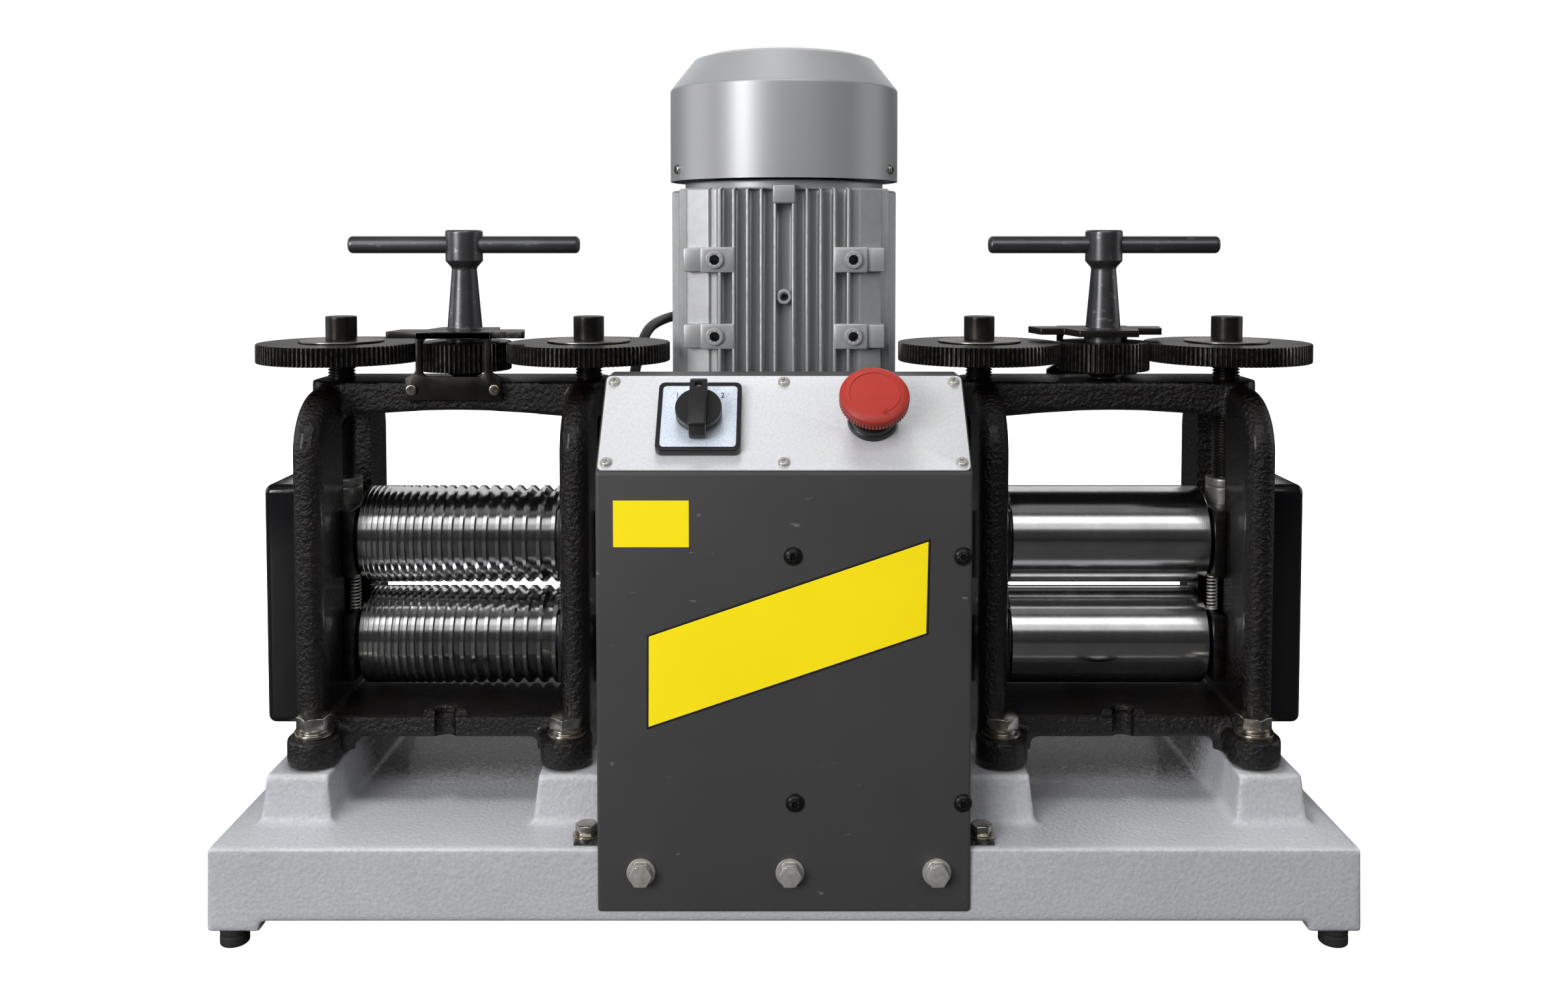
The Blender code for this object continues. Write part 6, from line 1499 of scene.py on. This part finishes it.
def front_cover():
    crest_y = cover_front + SLANT_Y
    back = cover_high.y
    side = [(cover_front, cover_low.z), (back, cover_low.z), (back, cover_high.z),
            (crest_y, cover_high.z), (cover_front, bend_z)]
    outer = bevelled(plate(side, -SHEET_HALF_X, SHEET_HALF_X, "yz"), SHEET_BEND, 4)
    inner_y = cover_front + SHEET_T
    drop = SHEET_T * math.tan(math.atan2(SLANT_Z, SLANT_Y) / 2)
    hollow = [(inner_y, cover_low.z - OVER), (back + OVER, cover_low.z - OVER),
              (back + OVER, cover_high.z - SHEET_T), (crest_y + drop, cover_high.z - SHEET_T),
              (inner_y, bend_z - drop)]
    inner = plate(hollow, SHEET_T - SHEET_HALF_X, SHEET_HALF_X - SHEET_T, "yz")
    under = block((-SHEET_HALF_X - OVER, cover_front + SHEET_T, cover_low.z - OVER),
                  (SHEET_HALF_X + OVER, back + OVER, base_top + FIT))
    behind = block((-SHEET_HALF_X - OVER, back - 0.0023, 0),
                   (SHEET_HALF_X + OVER, back + OVER, cover_high.z + OVER))
    return cut(outer, inner, under, behind)


satin_grey, tree, shader = finish("satin_dark_grey_paint", (0.045, 0.043, 0.042), 0.42, 0.0, 0.0)
even = drifting(tree, (0.044, 0.042, 0.043), (0.056, 0.054, 0.055), 7.0, 0.3)
fine = use(tree, LINES, Stretch=(0.35, 1.0, 1.0), Scale=150.0, Start=0.72, End=0.76)
rubbed = use(tree, WEAR, Start=0.55, End=0.66, Scale=120.0)
lined = mixed(tree, between(tree, fine["Mask"], 0, 0.35), even["Color"], (0.26, 0.26, 0.27, 1))
covered(shader, between(tree, rubbed["Mask"], 0, 0.6), lined, (0.3, 0.3, 0.3, 1))
grained(shader, 700.0, 0.4, 0.00008, 0.4)
fit("folded_cover", front_cover(), satin_grey, "base", "cover_grey", "front_cover")

tab_y = cover_front + TAB_IN
tabs, tab_bolts = [], []
flange_bolt = merged(lathe(eased([(0, 0.0018), (0.0085, 0.0012), (0.0085, 0), (0, 0)], 0.0004, 2,
                                 False), 40), moved(hexagon_head(0.012, 0.0062), (0, 0, 0.0012)))
for sign in (-1, 1):
    near, far = sorted((sign * (SHEET_HALF_X - 0.0008), sign * (SHEET_HALF_X + TAB_REACH)))
    tabs.append(bevelled(block((near, tab_y - TAB_HALF, base_top + FIT),
                               (far, tab_y + TAB_HALF, base_top + FIT + SHEET_T)), 0.0004, 2))
    tab_bolts.append(at(sign * (SHEET_HALF_X + 0.0085), tab_y, base_top + FIT + SHEET_T))
fit("cover_tabs", merged(*tabs), black_screw, "base", "cover_grey")
fit("tab_bolts", repeated(flange_bolt, tab_bolts), zinc, "base", "spring_steel")


# Cover fasteners and plates
# Three flange bolts go through the cover's lower edge into the base, and four button heads hold
# the parts behind. The two yellow plates are bare.

def on_front(x, z, out=0.0):
    """Place on the cover's front face, with Z out of the sheet."""
    return at(x, cover_front - out, z) @ about(QUARTER, "X")


bright_steel, tree, shader = finish("nickelled_screws", (0.72, 0.70, 0.66), 0.28, 0.7)
clouded(shader, (0.55, 0.52, 0.47), (0.78, 0.77, 0.75), 260.0, 0.2)
LOW_BOLTS = (-0.0840, 0.0035, 0.0898)
LOW_BOLT_Z = 0.0494
BUTTONS = ((0.0052, 0.2370), (0.1042, 0.2370), (0.0064, 0.0909), (0.1050, 0.0909))
fit("lower_cover_bolts", repeated(flange_bolt, [on_front(x, LOW_BOLT_Z) for x in LOW_BOLTS]),
    bright_steel, "base", "spring_steel")
button = button_head(0.0055, 0.0032)
fit("cover_button_screws", repeated(button, [on_front(x, z) for x, z in BUTTONS]), black_screw,
    "base", "cover_grey")

PLATE_T, BORDER = 0.0006, 0.0012
signal_yellow, tree, shader = finish("yellow_plate_paint", (0.98, 0.78, 0.005), 0.45)
clouded(shader, (0.94, 0.74, 0.004), (1.0, 0.80, 0.006), 18.0, 0.3)
SMALL_PLATE = [(-0.0993, 0.2422), (-0.0552, 0.2422), (-0.0552, 0.2695), (-0.0993, 0.2695)]
LARGE_PLATE = [(-0.0804, 0.1345), (0.0842, 0.1907), (0.0853, 0.2472), (-0.0800, 0.1905)]


def shrunk(outline, by):
    """The outline drawn in by the same width along every side."""
    made = []
    for i in range(len(outline)):
        prior, here, after = (Vector(outline[(i + k) % len(outline)]) for k in (-1, 0, 1))
        into, out = (here - prior).normalized(), (after - here).normalized()
        across = Vector((-into.y, into.x))
        inward = (across + Vector((-out.y, out.x))).normalized()
        made.append(tuple(here + inward * by / inward.dot(across)))
    return made


def yellow_plate(outline, thickness):
    face = plate(outline, cover_front - thickness, cover_front + 0.0003, "xz")
    return bevelled(face, 0.0002, 1)


yellow_plates = merged(yellow_plate(SMALL_PLATE, PLATE_T),
                       yellow_plate(shrunk(LARGE_PLATE, BORDER), PLATE_T))
fit("yellow_plates", yellow_plates, signal_yellow, "base", "cover_grey")
fit("large_plate_border", yellow_plate(LARGE_PLATE, PLATE_T * 0.7), moulded_black, "base",
    "black_plastic")


# Control panel
# A steel plate with a fine satin grain lies on the slope of the cover, held by six cross
# recessed screws with washers. The switch and the emergency stop go through it.

PANEL_TILT = math.atan2(SLANT_Z, SLANT_Y)
PANEL_HALF_X, PANEL_T, PANEL_CORNER, PANEL_MARGIN = 0.1085, 0.0015, 0.0030, 0.0008
PANEL_HALF_Y = math.hypot(SLANT_Y, SLANT_Z) / 2 - PANEL_MARGIN
SWITCH_X, STOP_X = -0.0504, 0.0527
SWITCH_BODY, STOP_BARREL_R = 0.0215, 0.0110
PANEL_SCREW_X, PANEL_SCREW_Y = 0.1036, 0.0296
on_slope = at(0, cover_front + SLANT_Y / 2, bend_z + SLANT_Z / 2) @ about(PANEL_TILT, "X")
panel_top = FIT + PANEL_T
seat = panel_top + FIT

outline = eased([(-PANEL_HALF_X, -PANEL_HALF_Y), (PANEL_HALF_X, -PANEL_HALF_Y),
                 (PANEL_HALF_X, PANEL_HALF_Y), (-PANEL_HALF_X, PANEL_HALF_Y)], PANEL_CORNER, 5)
panel = bevelled(plate(outline, FIT, panel_top), 0.0004, 2)
body_hole = SWITCH_BODY + FIT
panel = cut(panel, block((SWITCH_X - body_hole, -body_hole, -OVER),
                         (SWITCH_X + body_hole, body_hole, OVER)),
            plate(ring(STOP_BARREL_R + FIT, 48, (STOP_X, 0)), -OVER, OVER))
satin_panel, tree, shader = finish("satin_panel_metal", (0.62, 0.63, 0.65), 0.42, 0.3, 0.4)
shader.inputs["Coat Roughness"].default_value = 0.06
clouded(shader, (0.58, 0.59, 0.61), (0.67, 0.68, 0.70), 700.0, 0.16)
fit("control_plate", panel, satin_panel, "base", "panel_metal", "control_panel", place=on_slope)

panel_screw = merged(washer(0.0037, 0.0004), moved(cross_screw(0.0030, 0.0020), (0, 0, 0.0003)))
spots = [at(x, y, panel_top) @ about(0.4 + x * 13 + y * 31, "Z")
         for x in (-PANEL_SCREW_X, 0, PANEL_SCREW_X) for y in (-PANEL_SCREW_Y, PANEL_SCREW_Y)]
fit("panel_screws", repeated(panel_screw, spots), bright_steel, "base", "panel_metal",
    place=on_slope)


# Selector switch
# A cam switch: a moulded frame round a brushed aluminium face, a stacked body behind the panel,
# and a knob with a grip bar. A small screw in the grip's hole holds the knob on its spindle.

FRAME_HALF, FRAME_H, FRAME_CORNER = 0.0250, 0.0060, 0.0038
FACE_HALF, FACE_DROP, FACE_CORNER = 0.0226, 0.0005, 0.0026
BODY_DEPTH, BODY_DECKS, DECK_GAP = 0.0380, 4, 0.0008
KNOB_R, KNOB_H, NECK_H, KNOB_NECK_R = 0.0138, 0.0070, 0.0020, 0.0090
GRIP_HALF, GRIP_LOW, GRIP_HIGH, GRIP_H = 0.0051, -0.0187, 0.0163, 0.0150
GRIP_HOLE_R, GRIP_HOLE_Y, GRIP_HOLE_DEPTH = 0.0023, 0.0105, 0.0040
NUMERAL_X, NUMERAL_Y, NUMERAL_H = 0.0136, 0.0150, 0.0056


def rounded_square(half, corner, steps=5):
    return eased([(-half, -half), (half, -half), (half, half), (-half, half)], corner, steps)


def switch_body():
    frame_plate = bevelled(plate(rounded_square(FRAME_HALF, FRAME_CORNER), 0, FRAME_H), 0.0008, 3)
    recess = plate(rounded_square(FACE_HALF, FACE_CORNER), FRAME_H - FACE_DROP * 2, FRAME_H + OVER)
    neck_hole = plate(ring(KNOB_NECK_R + FIT, 48), FRAME_H / 2, FRAME_H + OVER)
    frame_plate = cut(frame_plate, recess, neck_hole)
    deck = BODY_DEPTH / BODY_DECKS
    decks = []
    for i in range(BODY_DECKS):
        top = 0.001 - seat - i * deck if i else 0.001
        decks.append(bevelled(block((-SWITCH_BODY, -SWITCH_BODY, -seat - (i + 1) * deck + DECK_GAP),
                                    (SWITCH_BODY, SWITCH_BODY, top)), 0.0006, 2))
    spine = block((-0.019, -0.019, -seat - BODY_DEPTH), (0.019, 0.019, 0))
    return merged(frame_plate, spine, *decks)


def numeral(text, x):
    """A dial number, cut as thin as a film and laid on the face."""
    type_ = bpy.data.curves.new("numeral", "FONT")
    type_.body = text
    type_.size = NUMERAL_H
    type_.extrude = 0.00008
    type_.align_x, type_.align_y = "CENTER", "CENTER"
    shape = with_modifier(type_, None)
    narrow = Matrix.Diagonal((0.82, 1.0, 1.0, 1.0))
    return moved(shape, narrow, (x, NUMERAL_Y, FRAME_H - FACE_DROP + 0.00005))


at_switch = on_slope @ at(SWITCH_X, 0, seat)
fit("switch_frame", switch_body(), moulded_black, "base", "black_plastic", "switch_plate",
    place=at_switch)
face = plate(rounded_square(FACE_HALF - 0.0002, FACE_CORNER), FRAME_H - FACE_DROP * 1.9,
             FRAME_H - FACE_DROP)
face = cut(bevelled(face, 0.0003, 2), plate(ring(KNOB_NECK_R + FIT, 48), 0, FRAME_H + OVER))
brushed, tree, shader = finish("brushed_aluminium_face", (0.60, 0.67, 0.76), 0.32, 0.35)
strokes = use(tree, LINES, Stretch=(0.9, 0.02, 0.9), Scale=1400.0, Start=0.35, End=0.7)
covered(shader, strokes["Mask"], (0.58, 0.66, 0.78, 1), (0.80, 0.85, 0.92, 1))
polished(shader, strokes["Value"], 0.2, 0.42)
bump(shader, strokes["Value"], 0.00004, 0.3)
fit("switch_face", face, brushed, "base", "panel_metal", place=at_switch)
fit("switch_numerals", merged(numeral("1", -NUMERAL_X), numeral("2", NUMERAL_X)), moulded_black,
    "base", "black_plastic", place=at_switch)


def switch_knob():
    low, high = NECK_H, NECK_H + KNOB_H
    profile = [(0, high), (KNOB_R, high, 0.0008), (KNOB_R, low + 0.0026),
               (KNOB_R - 0.0005, low + 0.0024), (KNOB_R - 0.0005, low + 0.0018),
               (KNOB_R, low + 0.0016), (KNOB_R, low), (KNOB_NECK_R, low),
               (KNOB_NECK_R, FIT - FRAME_H / 2), (0, FIT - FRAME_H / 2)]
    disc = lathe(eased(profile, 0.0002, 3, False), 64)
    side = [(GRIP_LOW, low), (GRIP_HIGH, low), (GRIP_HIGH, low + GRIP_H * 0.86),
            (GRIP_HIGH - 0.003, low + GRIP_H), (GRIP_LOW + 0.002, low + GRIP_H),
            (GRIP_LOW, low + GRIP_H * 0.92)]
    grip = bevelled(plate(side, -GRIP_HALF, GRIP_HALF, "yz"), 0.0009, 3)
    top = low + GRIP_H
    hole = plate(ring(GRIP_HOLE_R, 32, (0, GRIP_HOLE_Y)), top - GRIP_HOLE_DEPTH, top + OVER)
    return cut(welded(disc, grip), hole)


at_knob = at_switch @ at(0, 0, FRAME_H)
fit("grip_knob", switch_knob(), moulded_black, "knob", "black_plastic", "switch_knob",
    place=at_knob, angle=30)
knob_screw = moved(cross_screw(GRIP_HOLE_R * 0.8, 0.0012),
                   (0, GRIP_HOLE_Y, NECK_H + GRIP_H - GRIP_HOLE_DEPTH))
fit("knob_screw", knob_screw, bright_steel, "knob", "spring_steel", place=at_knob)


# Emergency stop
# A red mushroom head on a sliding stem, in a black collar whose barrel goes through the panel.
# Fine ribs run round the rim, and the turning arrow is moulded into the top.

COLLAR_TOP_R, COLLAR_FOOT_R, COLLAR_H = 0.0135, 0.0150, 0.0070
STOP_BORE_R, BARREL_DEPTH, LOCK_RING_R = 0.0075, 0.0300, 0.0155
STEM_R, STOP_TRAVEL = 0.0070, 0.0050
SKIRT_R, SKIRT_TOP_R, RIM_LOW, RIM_HIGH = 0.0135, 0.0165, 0.0190, 0.0235
HEAD_R, CROWN_R, HEAD_TOP = 0.0206, 0.0172, 0.0285
RIBS, RIB_DEPTH = 64, 0.0006
ARROW_R, ARROW_LINE, ARROW_FROM, ARROW_TO = 0.0148, 0.00055, 200, -74

at_stop = on_slope @ at(STOP_X, 0, seat)
collar = [(STOP_BORE_R, COLLAR_H), (COLLAR_TOP_R, COLLAR_H, 0.0006),
          (COLLAR_TOP_R + 0.0004, 0.0042), (COLLAR_TOP_R - 0.0003, 0.0038),
          (COLLAR_FOOT_R - 0.0004, 0.0032, 0.0005), (COLLAR_FOOT_R, 0), (STOP_BARREL_R, 0),
          (STOP_BARREL_R, -BARREL_DEPTH), (STOP_BORE_R, -BARREL_DEPTH)]
lock_ring = [(STOP_BARREL_R - 0.0004, -seat - 0.0024), (LOCK_RING_R, -seat - 0.0024),
             (LOCK_RING_R, -seat - 0.0072), (STOP_BARREL_R - 0.0004, -seat - 0.0072)]
stop_collar = merged(lathe(eased(collar, 0.0003, 2), 64, True),
                     lathe(eased(lock_ring, 0.0005, 2), 48, True))
fit("stop_collar", stop_collar, moulded_black, "base", "black_plastic", "estop_collar",
    place=at_stop)
dress("estop_stem", moulded_black)


def ribbed_rim():
    """The grip ring under the crown, with fine ribs round it."""
    rings = []
    for z, drop in ((RIM_LOW - 0.0004, 0.0012), (RIM_LOW + 0.0005, 0), (RIM_HIGH - 0.0006, 0),
                    (RIM_HIGH - 0.0001, 0.0008)):
        points = []
        for i in range(RIBS * 4):
            deep = RIB_DEPTH if i % 4 in (0, 3) else 0.0
            radius = HEAD_R - 0.0001 - deep - drop
            points.append(polar(radius, 2 * math.pi * i / (RIBS * 4), z))
        rings.append(points)
    return loft(rings)


def stop_head():
    under = COLLAR_H + STOP_TRAVEL + FIT
    socket = STEM_R + FIT
    profile = [(0, HEAD_TOP), (CROWN_R, HEAD_TOP - 0.0006, 0.020),
               (HEAD_R, RIM_HIGH + 0.0022, 0.0022), (HEAD_R, RIM_HIGH - 0.0001, 0.0004),
               (HEAD_R - 0.0024, RIM_HIGH - 0.0003),
               (SKIRT_TOP_R, RIM_LOW), (SKIRT_R, under, 0.0006), (socket, under),
               (socket, RIM_LOW + FIT), (0, RIM_LOW + FIT)]
    return lathe(eased(profile, 0.0003, 4, False), 72)


def turn_arrow():
    """The arrow for the release turn, as a low line on the crown."""
    start, end = math.radians(ARROW_FROM), math.radians(ARROW_TO)
    z = HEAD_TOP - 0.0004
    arc = [polar(ARROW_R, start + (end - start) * i / 40, z) for i in range(41)]
    tip = Vector(polar(ARROW_R, end, z))
    along = Vector((math.sin(end), -math.cos(end), 0))
    across = Vector((math.cos(end), math.sin(end), 0))
    barbs = [tube([tip + along * 0.0006, tip - along * 0.0030 + across * side * 0.0019], ARROW_LINE)
             for side in (-1, 1)]
    return merged(tube(arc, ARROW_LINE), *barbs)


signal_red, tree, shader = finish("moulded_red_plastic", (0.32, 0.030, 0.022), 0.42)
clouded(shader, (0.30, 0.028, 0.021), (0.34, 0.033, 0.025), 60.0, 0.3)
grained(shader, 1600.0, 0.5, 0.0001, 0.4)
fit("mushroom_head", stop_head(), signal_red, "stop_head", "red_plastic", "estop_head",
    place=at_stop, angle=30)
fit("mushroom_ribs", ribbed_rim(), signal_red, "stop_head", "red_plastic", place=at_stop)
fit("turn_arrow", turn_arrow(), signal_red, "stop_head", "red_plastic", place=at_stop)
